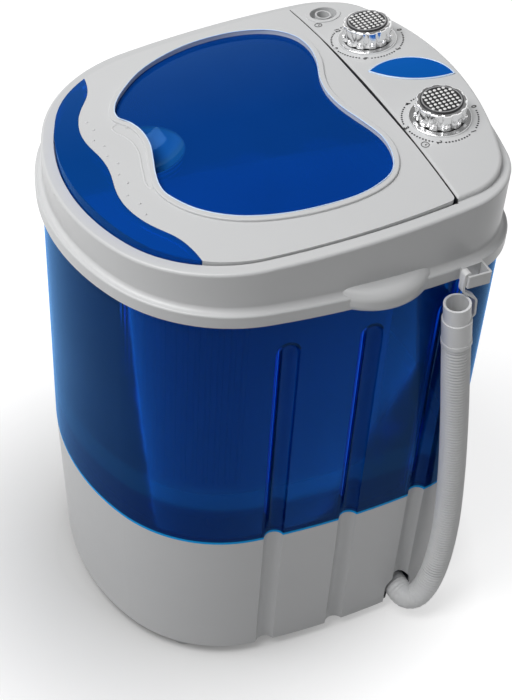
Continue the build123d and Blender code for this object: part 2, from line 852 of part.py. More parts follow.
def crescent_face(growth):
    """Face of the region in front of the crescent's inner edge, moved rearwards by the growth."""
    points = shifted(crescent_points, growth, False)
    with BuildSketch(mode=Mode.PRIVATE) as outline:
        with BuildLine():
            Spline(*points)
            Polyline(points[-1], (reach, points[-1][1]), (reach, -reach), (-reach, -reach),
                     (-reach, points[0][1]), points[0])
        make_face()
    return outline.sketch


# The lid's shell before it is divided: a crowned cap with its edge rounded over
lid_prism = prism(lid_plan, casing_top, reach, rear=lid_rear)
lid_inner_prism = prism(grown(lid_plan, -lid_wall), casing_top, reach, rear=lid_rear - lid_wall)
lid_under = ledge_block(recess_depth - fit_gap, above=False)
crown_cap = under_crown()
crown_inner = under_crown(lid_wall)
shallow_zone = block_between((-reach, lid_shallow_front, casing_top), (reach, reach, reach))
with BuildPart() as shallow_cut:
    add(shallow_zone)
    add(under_crown(lid_shallow_depth), mode=Mode.INTERSECT)

front_zone = block_between((-reach, -reach, 0), (reach, hinge_y, reach))
swing_bar = cross_bar(hinge_y, hinge_z, -ledge_width / 2, ledge_width / 2, lid_swing_radius)
with BuildPart() as swing_zone:
    add(front_zone)
    add(swing_bar)

with BuildPart() as lid_outside:
    add(lid_prism)
    add(lid_under, mode=Mode.SUBTRACT)
    add(crown_cap, mode=Mode.INTERSECT)
    rim = lid_outside.faces().sort_by(Axis.Z)[-1].edges()
    rear_edge = rim.sort_by(Axis.Y)[-1]
    fillet([edge for edge in rim if edge is not rear_edge], lid_edge_rounding)
    add(swing_zone.part, mode=Mode.INTERSECT)
    add(shallow_cut.part, mode=Mode.SUBTRACT)

with BuildPart() as lid_hollow:
    add(lid_inner_prism)
    add(crown_inner, mode=Mode.INTERSECT)

# Lid frame: the white skin round the window, with a raised bead and two hinge knuckles
lid_low = casing_top
opening = upright(window_face(0), lid_low, reach)
bead_outline = upright(window_face(bead_width), lid_low, reach)
crescent_zone = upright(crescent_face(0), lid_low, reach)
crescent_clear = upright(crescent_face(crescent_gap), lid_low, reach)
crown_bead = under_crown(-bead_height)
knuckle_length = knuckle_outer_x - knuckle_inner_x

with BuildPart() as bead:
    add(bead_outline)
    add(opening, mode=Mode.SUBTRACT)
    add(crown_bead, mode=Mode.INTERSECT)
    fillet(bead.faces().sort_by(Axis.Z)[-1].edges(), bead_rounding)
    add(crown_inner, mode=Mode.SUBTRACT)

with BuildPart() as lid_frame:
    add(lid_outside.part)
    add(lid_hollow.part, mode=Mode.SUBTRACT)
    add(crescent_clear, mode=Mode.SUBTRACT)
    add(opening, mode=Mode.SUBTRACT)
    add(bead.part)
    for sign in (-1, 1):
        with BuildSketch(Plane.YZ.offset(min(sign * knuckle_inner_x, sign * knuckle_outer_x))):
            with Locations((hinge_y, hinge_z)):
                Circle(knuckle_radius)
                Rectangle(
                    knuckle_radius, crown_at(knuckle_outer_x, hinge_y) - hinge_z - lid_wall / 2,
                    align=(Align.CENTER, Align.MIN),
                )
                Circle(pin_radius + running_gap, mode=Mode.SUBTRACT)
        extrude(amount=knuckle_length)
finish(lid_frame, "lid_frame")

# Front crescent of the lid, with a lip that reaches back under the frame's edge
seat_back = 4.0
crown_seat = under_crown(lid_wall + crescent_gap / 2)
crown_seat_under = under_crown(lid_wall + seat_wall)
crown_root = under_crown(lid_wall / 2)
seat_strip = upright(crescent_face(seat_width) - crescent_face(-seat_back), lid_low, reach)
root_strip = upright(crescent_face(0) - crescent_face(-seat_back), lid_low, reach)
pocket_clear = pillar(pocket_x, pocket_y, lid_low, reach, pocket_radius + sheet_overlap + 1)
with BuildPart() as seat:
    add(seat_strip)
    add(crown_seat, mode=Mode.INTERSECT)
    add(crown_seat_under, mode=Mode.SUBTRACT)

with BuildPart() as seat_root:
    add(root_strip)
    add(crown_root, mode=Mode.INTERSECT)
    add(crown_seat_under, mode=Mode.SUBTRACT)

with BuildPart() as seat_lip:
    add(seat.part)
    add(seat_root.part)
    add(lid_inner_prism, mode=Mode.INTERSECT)
    add(pocket_clear, mode=Mode.SUBTRACT)

with BuildPart() as lid_crescent:
    add(lid_outside.part)
    add(lid_hollow.part, mode=Mode.SUBTRACT)
    add(crescent_zone, mode=Mode.INTERSECT)
    add(seat_lip.part)
finish(lid_crescent, "lid_crescent")

# Window: a clear sheet under the frame, with a half-round finger pocket that dips under its front edge
sheet_outline = upright(window_face(sheet_overlap), lid_low, reach)
pocket_rim = pillar(pocket_x, pocket_y, lid_low, reach, pocket_radius + sheet_overlap)
crown_sheet = under_crown(sheet_drop)
crown_sheet_under = under_crown(sheet_drop + sheet_wall)
pocket_rise = (pocket_sphere**2 - pocket_radius**2) ** 0.5
pocket_plane = crown_plane(pocket_x, pocket_y, sheet_drop - pocket_rise)
with BuildPart() as pocket_bowl:
    with Locations(pocket_plane.location):
        Sphere(pocket_sphere + pocket_wall)
    add(crown_sheet, mode=Mode.INTERSECT)

with BuildPart() as lid_window:
    add(sheet_outline)
    add(pocket_rim)
    add(crown_sheet, mode=Mode.INTERSECT)
    add(crown_sheet_under, mode=Mode.SUBTRACT)
    add(pocket_bowl.part)
    with Locations(pocket_plane.location):
        Sphere(pocket_sphere, mode=Mode.SUBTRACT)
finish(lid_window, "lid_window")

# Control panel: a crowned cover behind the lid, open underneath
knob_x = 66.5
knob_y = 134.3
panel_edge_rounding = 3.0
shaft_radius = 3.0
shaft_hole_radius = 4.0
leaf_front = (-18.5, 111.0)
leaf_rear = (18.6, 175.0)
leaf_left_rise = 23.0
leaf_right_rise = 10.0
leaf_depth = 1.5
cup_radius = 14.0
cup_wall = 1.5
knob_places = (("wash", -knob_x), ("spin", knob_x))


def leaf_face(growth):
    """Leaf-shaped face between two tips, grown outwards."""
    dx, dy = leaf_rear[0] - leaf_front[0], leaf_rear[1] - leaf_front[1]
    length = (dx**2 + dy**2) ** 0.5
    middle = ((leaf_front[0] + leaf_rear[0]) / 2, (leaf_front[1] + leaf_rear[1]) / 2)
    left = (middle[0] - leaf_left_rise * dy / length, middle[1] + leaf_left_rise * dx / length)
    right = (middle[0] + leaf_right_rise * dy / length, middle[1] - leaf_right_rise * dx / length)
    with BuildSketch(mode=Mode.PRIVATE) as leaf:
        with BuildLine():
            ThreePointArc(leaf_front, left, leaf_rear)
            ThreePointArc(leaf_rear, right, leaf_front)
        make_face()
        if growth:
            offset(amount=growth, kind=Kind.ARC)
    return leaf.sketch


panel_prism = prism(lid_plan, casing_top, reach, front=panel_front)
panel_inner_prism = prism(grown(lid_plan, -panel_wall), casing_top, reach, front=panel_front + panel_wall)
under_ledge = ledge_block(0, above=False)
crown_panel_inner = under_crown(panel_wall)
leaf_pocket = upright(leaf_face(running_gap), lid_low, reach)
leaf_floor = under_crown(leaf_depth)
cup_hole = pillar(cup_x, cup_y, lid_low, reach, cup_radius + running_gap)
with BuildPart() as leaf_cut:
    add(leaf_pocket)
    add(leaf_floor, mode=Mode.SUBTRACT)

with BuildPart() as panel_space:
    add(panel_inner_prism)
    add(crown_panel_inner, mode=Mode.INTERSECT)

with BuildPart() as control_panel:
    add(panel_prism)
    add(under_ledge, mode=Mode.SUBTRACT)
    add(crown_cap, mode=Mode.INTERSECT)
    fillet(control_panel.faces().sort_by(Axis.Z)[-1].edges(), panel_edge_rounding)
    add(panel_space.part, mode=Mode.SUBTRACT)
    add(leaf_cut.part, mode=Mode.SUBTRACT)
    add(cup_hole, mode=Mode.SUBTRACT)
    for name, x in knob_places:
        with BuildSketch(crown_plane(x, knob_y, 2 * panel_wall)):
            Circle(shaft_hole_radius)
        extrude(amount=4 * panel_wall, mode=Mode.SUBTRACT)
finish(control_panel, "control_panel")

# Leaf-shaped insert between the dials, a little proud of the panel
leaf_proud = 0.8
leaf_block = upright(leaf_face(0), lid_low, reach)
crown_leaf = under_crown(-leaf_proud)
with BuildPart() as panel_window:
    add(leaf_block)
    add(crown_leaf, mode=Mode.INTERSECT)
    add(leaf_floor, mode=Mode.SUBTRACT)
finish(panel_window, "panel_window")

# Water inlet: a dished cup in the panel with an upright tube, and an elbow down to the tub
cup_depth = 9.0
cup_rim_width = 2.0
cup_rim_height = 1.0
cup_tube_radius = 7.5
cup_tube_bore = 6.0
tube_bottom = 482.0
cup_top = crown_at(cup_x, cup_y)
crown_cup = under_crown(-cup_rim_height)
with BuildPart() as cup_rim:
    add(pillar(cup_x, cup_y, lid_low, reach, cup_radius + cup_rim_width, cup_radius - cup_wall))
    add(crown_cup, mode=Mode.INTERSECT)
    add(crown_cap, mode=Mode.SUBTRACT)

with BuildPart() as cup_barrel:
    add(pillar(cup_x, cup_y, cup_top - cup_depth - cup_wall, reach, cup_radius, cup_radius - cup_wall))
    add(crown_cup, mode=Mode.INTERSECT)

with BuildPart() as inlet_cup:
    add(cup_rim.part)
    add(cup_barrel.part)
    add(pillar(cup_x, cup_y, cup_top - cup_depth - cup_wall, cup_top - cup_depth, cup_radius))
    add(pillar(cup_x, cup_y, tube_bottom, cup_top, cup_tube_radius))
    with BuildSketch(Plane.XY.offset(tube_bottom)):
        with Locations((cup_x, cup_y)):
            Circle(cup_tube_bore)
    extrude(amount=reach, mode=Mode.SUBTRACT)
    fillet(inlet_cup.faces().sort_by(Axis.Z)[-1].edges().sort_by(SortBy.LENGTH)[-1], cup_rim_height / 2)
finish(inlet_cup, "inlet_cup")


def hose_tube(points, radii, outer, inner):
    """Tube swept along straight runs joined by arcs."""
    with BuildPart(mode=Mode.PRIVATE) as tube:
        with BuildLine() as route:
            FilletPolyline(*points, radius=radii)
        with BuildSketch(Plane(origin=route.wires()[0] @ 0, z_dir=route.wires()[0] % 0)):
            Circle(outer)
            Circle(inner, mode=Mode.SUBTRACT)
        sweep(path=route.wires()[0])
    return tube.part


inlet_bend = 16.0
inlet_route = [(cup_x, cup_y, tube_bottom), (cup_x, cup_y, inlet_height), (cup_x, 0, inlet_height)]
inlet_tube = hose_tube(inlet_route, inlet_bend, inlet_radius, inlet_bore)
tub_without_round = upright(tub_face(0), tub_bottom, reach)
with BuildPart() as inlet_pipe:
    add(inlet_tube)
    add(tub_without_round, mode=Mode.SUBTRACT)
finish(inlet_pipe, "inlet_pipe")

# Timers under the panel, their shafts, and the dials: a dished bezel, a knob and a studded cap
timer_width = 44.0
timer_height = 30.0
timer_rounding = 4.0
bezel_radius = 26.8
bezel_height = 1.8
bezel_dish = 1.0
bezel_hole = 6.0
knob_radius = 21.75
knob_clearance = 0.5
knob_height = 16.0
knob_wall = 2.5
knob_hub_radius = 7.0
knob_hub_depth = 11.0
knob_rounding = 1.5
scallop_count = 12
scallop_radius = 4.5
scallop_depth = 1.1
lobe_bead_radius = 1.6
lobe_bead_height = 4.5
cap_radius = 18.5
cap_seat = 1.5
cap_height = 2.6
cap_rounding = 0.8
stud_radius = 1.1
stud_height = 0.5
stud_pitch = 4.2
stud_circle = 15.5
stud_count = 7
shaft_drop = 20.0
knob_low = bezel_height + knob_clearance
knob_top = knob_low + knob_height
for name, x in knob_places:
    on_panel = crown_plane(x, knob_y)
    outward = Axis(on_panel.origin, on_panel.z_dir)
    below_skin = crown_plane(x, knob_y, panel_wall + fit_gap)
    with BuildPart() as timer:
        with BuildSketch(below_skin):
            RectangleRounded(timer_width, timer_width, timer_rounding)
            Circle(shaft_radius + running_gap, mode=Mode.SUBTRACT)
        extrude(amount=-timer_height)
    finish(timer, f"{name}_timer")

    with BuildPart() as timer_shaft:
        with BuildSketch(on_panel.offset(-shaft_drop)):
            Circle(shaft_radius)
        extrude(amount=shaft_drop + knob_low + knob_hub_depth)
    finish(timer_shaft, f"{name}_timer_shaft")

    with BuildPart() as bezel:
        with BuildSketch(on_panel.offset(-bezel_height)):
            Circle(bezel_radius)
        extrude(amount=2 * bezel_height)
        top_edge = bezel.edges().sort_by(outward)[-1]
        fillet(top_edge, bezel_height / 2)
        with BuildSketch(on_panel.offset(bezel_height - bezel_dish)):
            Circle(knob_radius + knob_clearance)
        extrude(amount=bezel_height, mode=Mode.SUBTRACT)
        with BuildSketch(on_panel.offset(-bezel_height)):
            Circle(bezel_hole)
        extrude(amount=2 * bezel_height, mode=Mode.SUBTRACT)
        add(crown_cap, mode=Mode.SUBTRACT)
    finish(bezel, f"{name}_knob_bezel")

    with BuildPart() as knob:
        with BuildSketch(on_panel.offset(knob_low)):
            Circle(knob_radius)
            with PolarLocations(knob_radius + scallop_radius - scallop_depth, scallop_count):
                Circle(scallop_radius, mode=Mode.SUBTRACT)
        extrude(amount=knob_height)
        fillet(knob.faces().sort_by(outward)[-1].edges(), knob_rounding)
        with BuildSketch(on_panel.offset(knob_low)):
            Circle(knob_radius - scallop_depth - knob_wall)
            Circle(knob_hub_radius, mode=Mode.SUBTRACT)
        extrude(amount=knob_height - cap_seat - knob_wall, mode=Mode.SUBTRACT)
        with BuildSketch(on_panel.offset(knob_low)):
            Circle(shaft_radius + running_gap)
        extrude(amount=knob_hub_depth, mode=Mode.SUBTRACT)
        with BuildSketch(on_panel.offset(knob_top - cap_seat)):
            Circle(cap_radius + running_gap)
        extrude(amount=knob_height, mode=Mode.SUBTRACT)
        # a small bead low on each lobe of the grip
        for lobe in range(scallop_count):
            angle = radians((lobe + 0.5) * 360 / scallop_count)
            bead_height_at = knob_low + lobe_bead_height
            bead_at = Vector(knob_radius * cos(angle), knob_radius * sin(angle), bead_height_at)
            with Locations(on_panel.from_local_coords(bead_at)):
                Sphere(lobe_bead_radius)
    finish(knob, f"{name}_knob")

    with BuildPart() as knob_cap:
        with BuildSketch(on_panel.offset(knob_top - cap_seat)):
            Circle(cap_radius)
        extrude(amount=cap_height)
        fillet(knob_cap.edges().sort_by(outward)[-1], cap_rounding)
        with BuildSketch(on_panel.offset(knob_top - cap_seat + cap_height)):
            with GridLocations(stud_pitch, stud_pitch, stud_count, stud_count) as grid:
                studs = [spot for spot in grid.local_locations if spot.position.length < stud_circle]
            with Locations(*studs):
                Circle(stud_radius)
        extrude(amount=stud_height, taper=25)
    finish(knob_cap, f"{name}_knob_cap")

# Drive shaft in its bearing housing under the tub, with a seal, two bushes and the driven pulley
housing_flange_radius = 35.0
housing_flange = 6.0
housing_radius = 15.0
housing_length = 38.0
bush_radius = 8.0
bush_length = 12.0
drive_shaft_radius = 5.0
seal_flange_radius = 12.0
seal_flange = 2.0
pulsator_radius = 80.0
pulsator_height = 12.0
pulsator_lift = 3.5
pulsator_wall = 3.0
pulsator_hub_radius = 13.0
fin_count = 3
fin_height = 8.0
fin_thickness = 7.0
fin_inset = 8.0
screw_cap_radius = 8.0
screw_cap_height = 5.0
belt_height = 138.0
belt_width = 7.0
belt_thickness = 6.0
belt_gap = 0.3
pulley_flange = 2.4
pulley_groove = 8.3
driven_radius = 57.7
driver_radius = 8.7
pulley_height = belt_width + 2 * belt_gap + 2 * pulley_flange
pulley_low = belt_height - pulley_height / 2
pulley_hole_radius = 14.0
pulley_hole_count = 5
pulley_hub_radius = 14.0
floor_inside = tub_bottom + tub_wall
pulsator_low = floor_inside + pulsator_lift
housing_low = tub_bottom - housing_length
shaft_low = pulley_low - 2
shaft_top = pulsator_low + pulsator_height - 1

with BuildPart() as bearing_housing:
    add(pillar(0, axis_y, tub_bottom - housing_flange, tub_bottom, housing_flange_radius))
    add(pillar(0, axis_y, housing_low, tub_bottom, housing_radius))
    add(
        pillar(0, axis_y, housing_low - 1, tub_bottom + 1, drive_shaft_radius + pulsator_wall),
        mode=Mode.SUBTRACT,
    )
finish(bearing_housing, "bearing_housing")

for name, low in (("upper_bush", tub_bottom - bush_length), ("lower_bush", housing_low)):
    with BuildPart() as bush:
        add(pillar(0, axis_y, low, low + bush_length, bush_radius, drive_shaft_radius + running_gap))
    finish(bush, name)

with BuildPart() as shaft_seal:
    add(pillar(0, axis_y, tub_bottom, floor_inside, seal_radius, drive_shaft_radius + running_gap))
    add(
        pillar(
            0, axis_y, floor_inside, floor_inside + seal_flange, seal_flange_radius,
            drive_shaft_radius + running_gap,
        )
    )
finish(shaft_seal, "shaft_seal")

with BuildPart() as pulsator_shaft:
    add(pillar(0, axis_y, shaft_low, shaft_top, drive_shaft_radius))
    chamfer(pulsator_shaft.edges().sort_by(Axis.Z)[0], 0.8)
finish(pulsator_shaft, "pulsator_shaft")

# Pulsator: a shallow cone on the tub's floor with three fins
shaft_hole = drive_shaft_radius + running_gap
pulsator_plane = Plane(origin=(0, axis_y, pulsator_low), x_dir=(1, 0, 0), z_dir=(0, -1, 0))
with BuildPart() as pulsator:
    with BuildSketch(pulsator_plane):
        with BuildLine():
            Polyline(
                (shaft_hole, 0),
                (pulsator_hub_radius, 0),
                (pulsator_hub_radius, pulsator_height - 2 * pulsator_wall),
                (pulsator_radius - pulsator_wall, 0),
                (pulsator_radius, 0),
                (pulsator_radius, pulsator_wall),
                (pulsator_hub_radius + 2 * pulsator_wall, pulsator_height),
                (shaft_hole, pulsator_height),
                close=True,
            )
        make_face()
    revolve(axis=Axis((0, axis_y, 0), (0, 0, 1)))
    for fin in range(fin_count):
        angle = 2 * pi * fin / fin_count + pi / 2
        fin_plane = Plane(
            origin=(0, axis_y, pulsator_low),
            x_dir=(cos(angle), sin(angle), 0),
            z_dir=(sin(angle), -cos(angle), 0),
        )
        with BuildSketch(fin_plane):
            with BuildLine():
                Polyline(
                    (pulsator_hub_radius + 2, pulsator_height - 2),
                    (pulsator_radius - fin_inset, pulsator_wall - 1),
                    (pulsator_radius - 2 * fin_inset, pulsator_wall + fin_height),
                    (pulsator_hub_radius + fin_inset, pulsator_height + fin_height),
                    close=True,
                )
            make_face()
        extrude(amount=fin_thickness / 2, both=True)
    fillet(pulsator.edges().group_by(Axis.Z)[-1], 1)
finish(pulsator, "pulsator")

with BuildPart() as pulsator_screw:
    add(
        pillar(
            0, axis_y, pulsator_low + pulsator_height, pulsator_low + pulsator_height + screw_cap_height,
            screw_cap_radius,
        )
    )
    fillet(pulsator_screw.edges().sort_by(Axis.Z)[-1], 2)
finish(pulsator_screw, "pulsator_screw")


def pulley_block(x, y, groove_radius, bore):
    """Grooved pulley for the belt, with a flange at the top and the bottom."""
    pulley_top = pulley_low + pulley_height
    flange_radius = groove_radius + pulley_groove
    with BuildPart(mode=Mode.PRIVATE) as wheel:
        for low, high, radius in (
            (pulley_low, pulley_low + pulley_flange, flange_radius),
            (pulley_low, pulley_top, groove_radius),
            (pulley_top - pulley_flange, pulley_top, flange_radius),
        ):
            with BuildSketch(Plane.XY.offset(low)):
                with Locations((x, y)):
                    Circle(radius)
                    Circle(bore, mode=Mode.SUBTRACT)
            extrude(amount=high - low)
    return wheel.part


with BuildPart() as driven_pulley:
    add(pulley_block(0, axis_y, driven_radius, shaft_hole))
    with BuildSketch(Plane.XY.offset(pulley_low)):
        with Locations((0, axis_y)):
            with PolarLocations((driven_radius + pulley_hub_radius) / 2, pulley_hole_count):
                Circle(pulley_hole_radius)
    extrude(amount=pulley_height, mode=Mode.SUBTRACT)
finish(driven_pulley, "driven_pulley")

# Belt: a flat loop round both pulleys
centre_distance = motor_y - axis_y


def belt_face(extra):
    """Face inside a taut loop that stands this far off both groove bottoms."""
    big = driven_radius + extra
    small = driver_radius + extra
    lean = (big - small) / centre_distance
    level = (1 - lean**2) ** 0.5
    with BuildSketch(mode=Mode.PRIVATE) as loop:
        with BuildLine():
            start = (big * level, axis_y + big * lean)
            stop = (small * level, motor_y + small * lean)
            Line(start, stop)
            ThreePointArc(stop, (0, motor_y + small), (-stop[0], stop[1]))
            Line((-stop[0], stop[1]), (-start[0], start[1]))
            ThreePointArc((-start[0], start[1]), (0, axis_y - big), start)
        make_face()
    return loop.sketch


with BuildPart() as drive_belt:
    with BuildSketch(Plane.XY.offset(belt_height - belt_width / 2)):
        add(belt_face(belt_gap + belt_thickness))
        add(belt_face(belt_gap), mode=Mode.SUBTRACT)
    extrude(amount=belt_width)
finish(drive_belt, "drive_belt")

# Motor: a round can that hangs from a bracket, its shaft carrying a pulley above and a fan below
motor_radius = 46.0
motor_length = 72.0
motor_end_radius = 30.0
motor_end = 6.0
motor_shaft_radius = 4.0
bracket_wall = 2.5
bracket_margin = 12.0
bracket_rounding = 10.0
bracket_hole = 17.0
fan_radius = 35.0
fan_hub_radius = 8.0
fan_disc = 2.0
fan_height = 12.0
fan_blades = 8
fan_blade_wall = 1.6
fan_gap = 4.0
motor_screw_circle = 24.0
motor_screw_length = 8.0
mount_radius = 9.0
bracket_low = mount_bottom - bracket_wall
motor_top = bracket_low
motor_low = motor_top - motor_length - 2 * motor_end
motor_hole = motor_shaft_radius + 2 * running_gap
fan_top = motor_low - fan_gap
fan_low = fan_top - fan_height
motor_screw_points = [
    (motor_screw_circle * cos(radians(a)), motor_y + motor_screw_circle * sin(radians(a)))
    for a in (45, 135, 225, 315)
]

with BuildPart() as motor_housing:
    add(pillar(0, motor_y, motor_low + motor_end, motor_top - motor_end, motor_radius))
    fillet(motor_housing.edges().filter_by(GeomType.CIRCLE), motor_end)
    add(pillar(0, motor_y, motor_low, motor_top, motor_end_radius))
    add(pillar(0, motor_y, motor_low - 1, motor_top + 1, motor_hole), mode=Mode.SUBTRACT)
    for x, y in motor_screw_points:
        screw_hole = pillar(x, y, motor_top - motor_screw_length, motor_top, screw_radius + running_gap)
        add(screw_hole, mode=Mode.SUBTRACT)
finish(motor_housing, "motor_housing")

with BuildPart() as motor_shaft:
    add(pillar(0, motor_y, fan_low - 2, pulley_low + pulley_height + 2, motor_shaft_radius))
finish(motor_shaft, "motor_shaft")

with BuildPart() as motor_pulley:
    add(pulley_block(0, motor_y, driver_radius, motor_shaft_radius + running_gap))
finish(motor_pulley, "motor_pulley")

with BuildPart() as motor_fan:
    add(pillar(0, motor_y, fan_low, fan_low + fan_disc, fan_radius))
    add(pillar(0, motor_y, fan_low, fan_top, fan_hub_radius))
    with BuildSketch(Plane.XY.offset(fan_low)):
        with Locations((0, motor_y)):
            with PolarLocations((fan_radius + fan_hub_radius) / 2 - fan_blade_wall, fan_blades):
                Rectangle(fan_radius - fan_hub_radius, fan_blade_wall)
    extrude(amount=fan_height)
    add(pillar(0, motor_y, fan_low - 1, fan_top + 1, motor_shaft_radius + running_gap), mode=Mode.SUBTRACT)
finish(motor_fan, "motor_fan")

with BuildPart() as motor_bracket:
    with BuildSketch(Plane.XY.offset(bracket_low)):
        with Locations((0, sum(mount_ys) / 2)):
            RectangleRounded(
                2 * (mount_x + bracket_margin),
                mount_ys[1] - mount_ys[0] + 2 * bracket_margin,
                bracket_rounding,
            )
        with Locations((0, motor_y)):
            Circle(bracket_hole, mode=Mode.SUBTRACT)
        with Locations(*motor_screw_points):
            Circle(screw_radius + running_gap, mode=Mode.SUBTRACT)
    extrude(amount=bracket_wall)
finish(motor_bracket, "motor_bracket")

with BuildPart() as motor_screws:
    for x, y in motor_screw_points:
        add(pillar(x, y, mount_bottom, mount_bottom + screw_head_height, screw_head_radius))
        add(pillar(x, y, mount_bottom - motor_screw_length, mount_bottom, screw_radius))
finish(motor_screws, "motor_screws")

with BuildPart() as motor_mounts:
    for x, y in mount_points:
        add(pillar(x, y, mount_bottom, mount_bottom + mount_thickness, mount_radius, mount_bore))
finish(motor_mounts, "motor_mounts")

# Run capacitor, clipped upright on the bottom plate
capacitor_x = -90.0
capacitor_y = 105.0
capacitor_radius = 17.5
capacitor_length = 60.0
clip_wall = 2.0
clip_low = 30.0
clip_high = 45.0
with BuildPart() as run_capacitor:
    add(pillar(capacitor_x, capacitor_y, plate_top, plate_top + capacitor_length, capacitor_radius))
    fillet(run_capacitor.edges().sort_by(Axis.Z)[-1], 2)
finish(run_capacitor, "run_capacitor")

with BuildPart() as capacitor_clip:
    add(pillar(capacitor_x, capacitor_y, clip_low, clip_high, capacitor_radius + clip_wall, capacitor_radius))
    with BuildSketch(Plane.XY.offset(plate_top)):
        with Locations((capacitor_x + capacitor_radius, capacitor_y)):
            Rectangle(clip_wall, clip_high - clip_low, align=(Align.MIN, Align.CENTER))
    extrude(amount=clip_high - plate_top)
finish(capacitor_clip, "capacitor_clip")

# Drain: a grille in the tub, a pipe from the spout round to the hose, and the clamp on the hose's end
grille_radius = 22.0
grille_height = 2.0
grille_slots = 5
grille_slot_width = 3.0
grille_slot_pitch = 7.0
drain_pipe_radius = 9.5
drain_pipe_bore = spout_radius + running_gap
drain_bend = 24.0
hose_start_x = 135.0
hose_overlap = 14.0
hose_bore = 9.7
hose_end_radius = 12.0
clamp_wall = 1.2
clamp_width = 8.0
clamp_ear = 6.0
with BuildPart() as filter_cover:
    add(pillar(drain_x, drain_y, floor_inside, floor_inside + grille_height, grille_radius))
    with BuildSketch(Plane.XY.offset(floor_inside)):
        with Locations((drain_x, drain_y)):
            with GridLocations(grille_slot_pitch, 1, grille_slots, 1):
                SlotOverall(grille_radius, grille_slot_width, rotation=90)
    extrude(amount=grille_height, mode=Mode.SUBTRACT)
finish(filter_cover, "filter_cover")

drain_route = [
    (drain_x, drain_y, tub_bottom - 1),
    (drain_x, drain_y, hose_exit_z),
    (drain_x, hose_exit_y, hose_exit_z),
    (hose_start_x + hose_overlap, hose_exit_y, hose_exit_z),
]
with BuildPart() as drain_pipe:
    add(hose_tube(drain_route, drain_bend, drain_pipe_radius, drain_pipe_bore))
finish(drain_pipe, "drain_pipe")

with BuildPart() as hose_clamp:
    with BuildSketch(Plane.YZ.offset(hose_start_x + clamp_width / 2)):
        with Locations((hose_exit_y, hose_exit_z)):
            Circle(hose_end_radius + clamp_wall)
            Rectangle(clamp_ear, hose_end_radius + clamp_ear, align=(Align.CENTER, Align.MIN))
            Circle(hose_end_radius, mode=Mode.SUBTRACT)
    extrude(amount=clamp_width)
finish(hose_clamp, "hose_clamp")

# Ribbed drain hose: out through the notch, up beside the machine and into the cuff hooked on the bracket
hose_points = [
    (hose_start_x, hose_exit_y, hose_exit_z),
    (168, hose_exit_y, hose_exit_z),
    (184, 103, 26),
    (191, 112, 30),
    (191.5, 121, 42),
    (191, 127.5, 62),
    (191, 131, 95),
    (191, 131, 140),
    (190.5, 127.8, 185),
    (190.2, 123.5, 228),
    (190, 118.5, 268),
    (190, 113, 308),
    (190, 107.6, 343),
    (190, 101.5, 386),
]
rib_pitch = 3.6
rib_depth = 1.35
hose_end_length = 26.0
hose_top_length = 3.0


def bend_radii(points):
    """Largest even bend at each corner: 0.45 of its shorter run on each side."""
    radii = []
    for before, corner, after in zip(points, points[1:], points[2:]):
        run_in = Vector(*corner) - Vector(*before)
        run_out = Vector(*after) - Vector(*corner)
        turn = radians(run_in.get_angle(run_out))
        radii.append(0.45 * min(run_in.length, run_out.length) / tan(turn / 2))
    return radii


with BuildLine() as hose_route:
    FilletPolyline(*hose_points, radius=bend_radii(hose_points))
hose_wire = hose_route.wires()[0]
hose_length = hose_wire.length
hose_ribs = round((hose_length - hose_end_length - hose_top_length) / rib_pitch)
rib_step = (hose_length - hose_end_length - hose_top_length) / hose_ribs


def hose_plane(distance):
    """Plane square to the hose, its X axis kept to one side along the whole route."""
    part_way = distance / hose_length
    return Plane(origin=hose_wire @ part_way, x_dir=(1, -1, 0), z_dir=hose_wire % part_way)


stations = [(0.0, hose_end_radius)]
for rib in range(hose_ribs):
    start = hose_end_length + rib * rib_step
    stations += [
        (start, hose_radius - rib_depth),
        (start + 0.2 * rib_step, hose_radius),
        (start + 0.6 * rib_step, hose_radius),
        (start + 0.8 * rib_step, hose_radius - rib_depth),
    ]
stations += [(hose_length - hose_top_length, hose_radius - rib_depth), (hose_length, hose_end_radius)]
bore_stations = [0.0]
bore_stations += [hose_end_length + rib * rib_step for rib in range(hose_ribs + 1)]
bore_stations += [hose_length]

with BuildPart() as hose_bore_block:
    for distance in bore_stations:
        with BuildSketch(hose_plane(distance)):
            Circle(hose_bore)
    loft(ruled=True)

with BuildPart() as drain_hose:
    for distance, radius in stations:
        with BuildSketch(hose_plane(distance)):
            Circle(radius)
    loft(ruled=True)
    add(hose_bore_block.part, mode=Mode.SUBTRACT)
finish(drain_hose, "drain_hose")

# Cuff on the hose's end: a ring, a collar and an open mouth
cuff_ring_radius = 13.5
cuff_ring_length = 4.0
cuff_collar_radius = 13.0
cuff_collar_length = 24.0
cuff_mouth_radius = 11.75
cuff_mouth_length = 17.0
cuff_length = cuff_ring_length + cuff_collar_length + cuff_mouth_length
cuff_plane = hose_plane(hose_length)
with BuildPart() as hose_cuff:
    with BuildSketch(cuff_plane):
        Circle(cuff_ring_radius)
    extrude(amount=cuff_ring_length)
    with BuildSketch(cuff_plane):
        Circle(cuff_collar_radius)
    extrude(amount=cuff_ring_length + cuff_collar_length)
    with BuildSketch(cuff_plane):
        Circle(cuff_mouth_radius)
    extrude(amount=cuff_length)
    with BuildSketch(cuff_plane):
        Circle(hose_bore)
    extrude(amount=cuff_length, mode=Mode.SUBTRACT)
finish(hose_cuff, "hose_cuff")

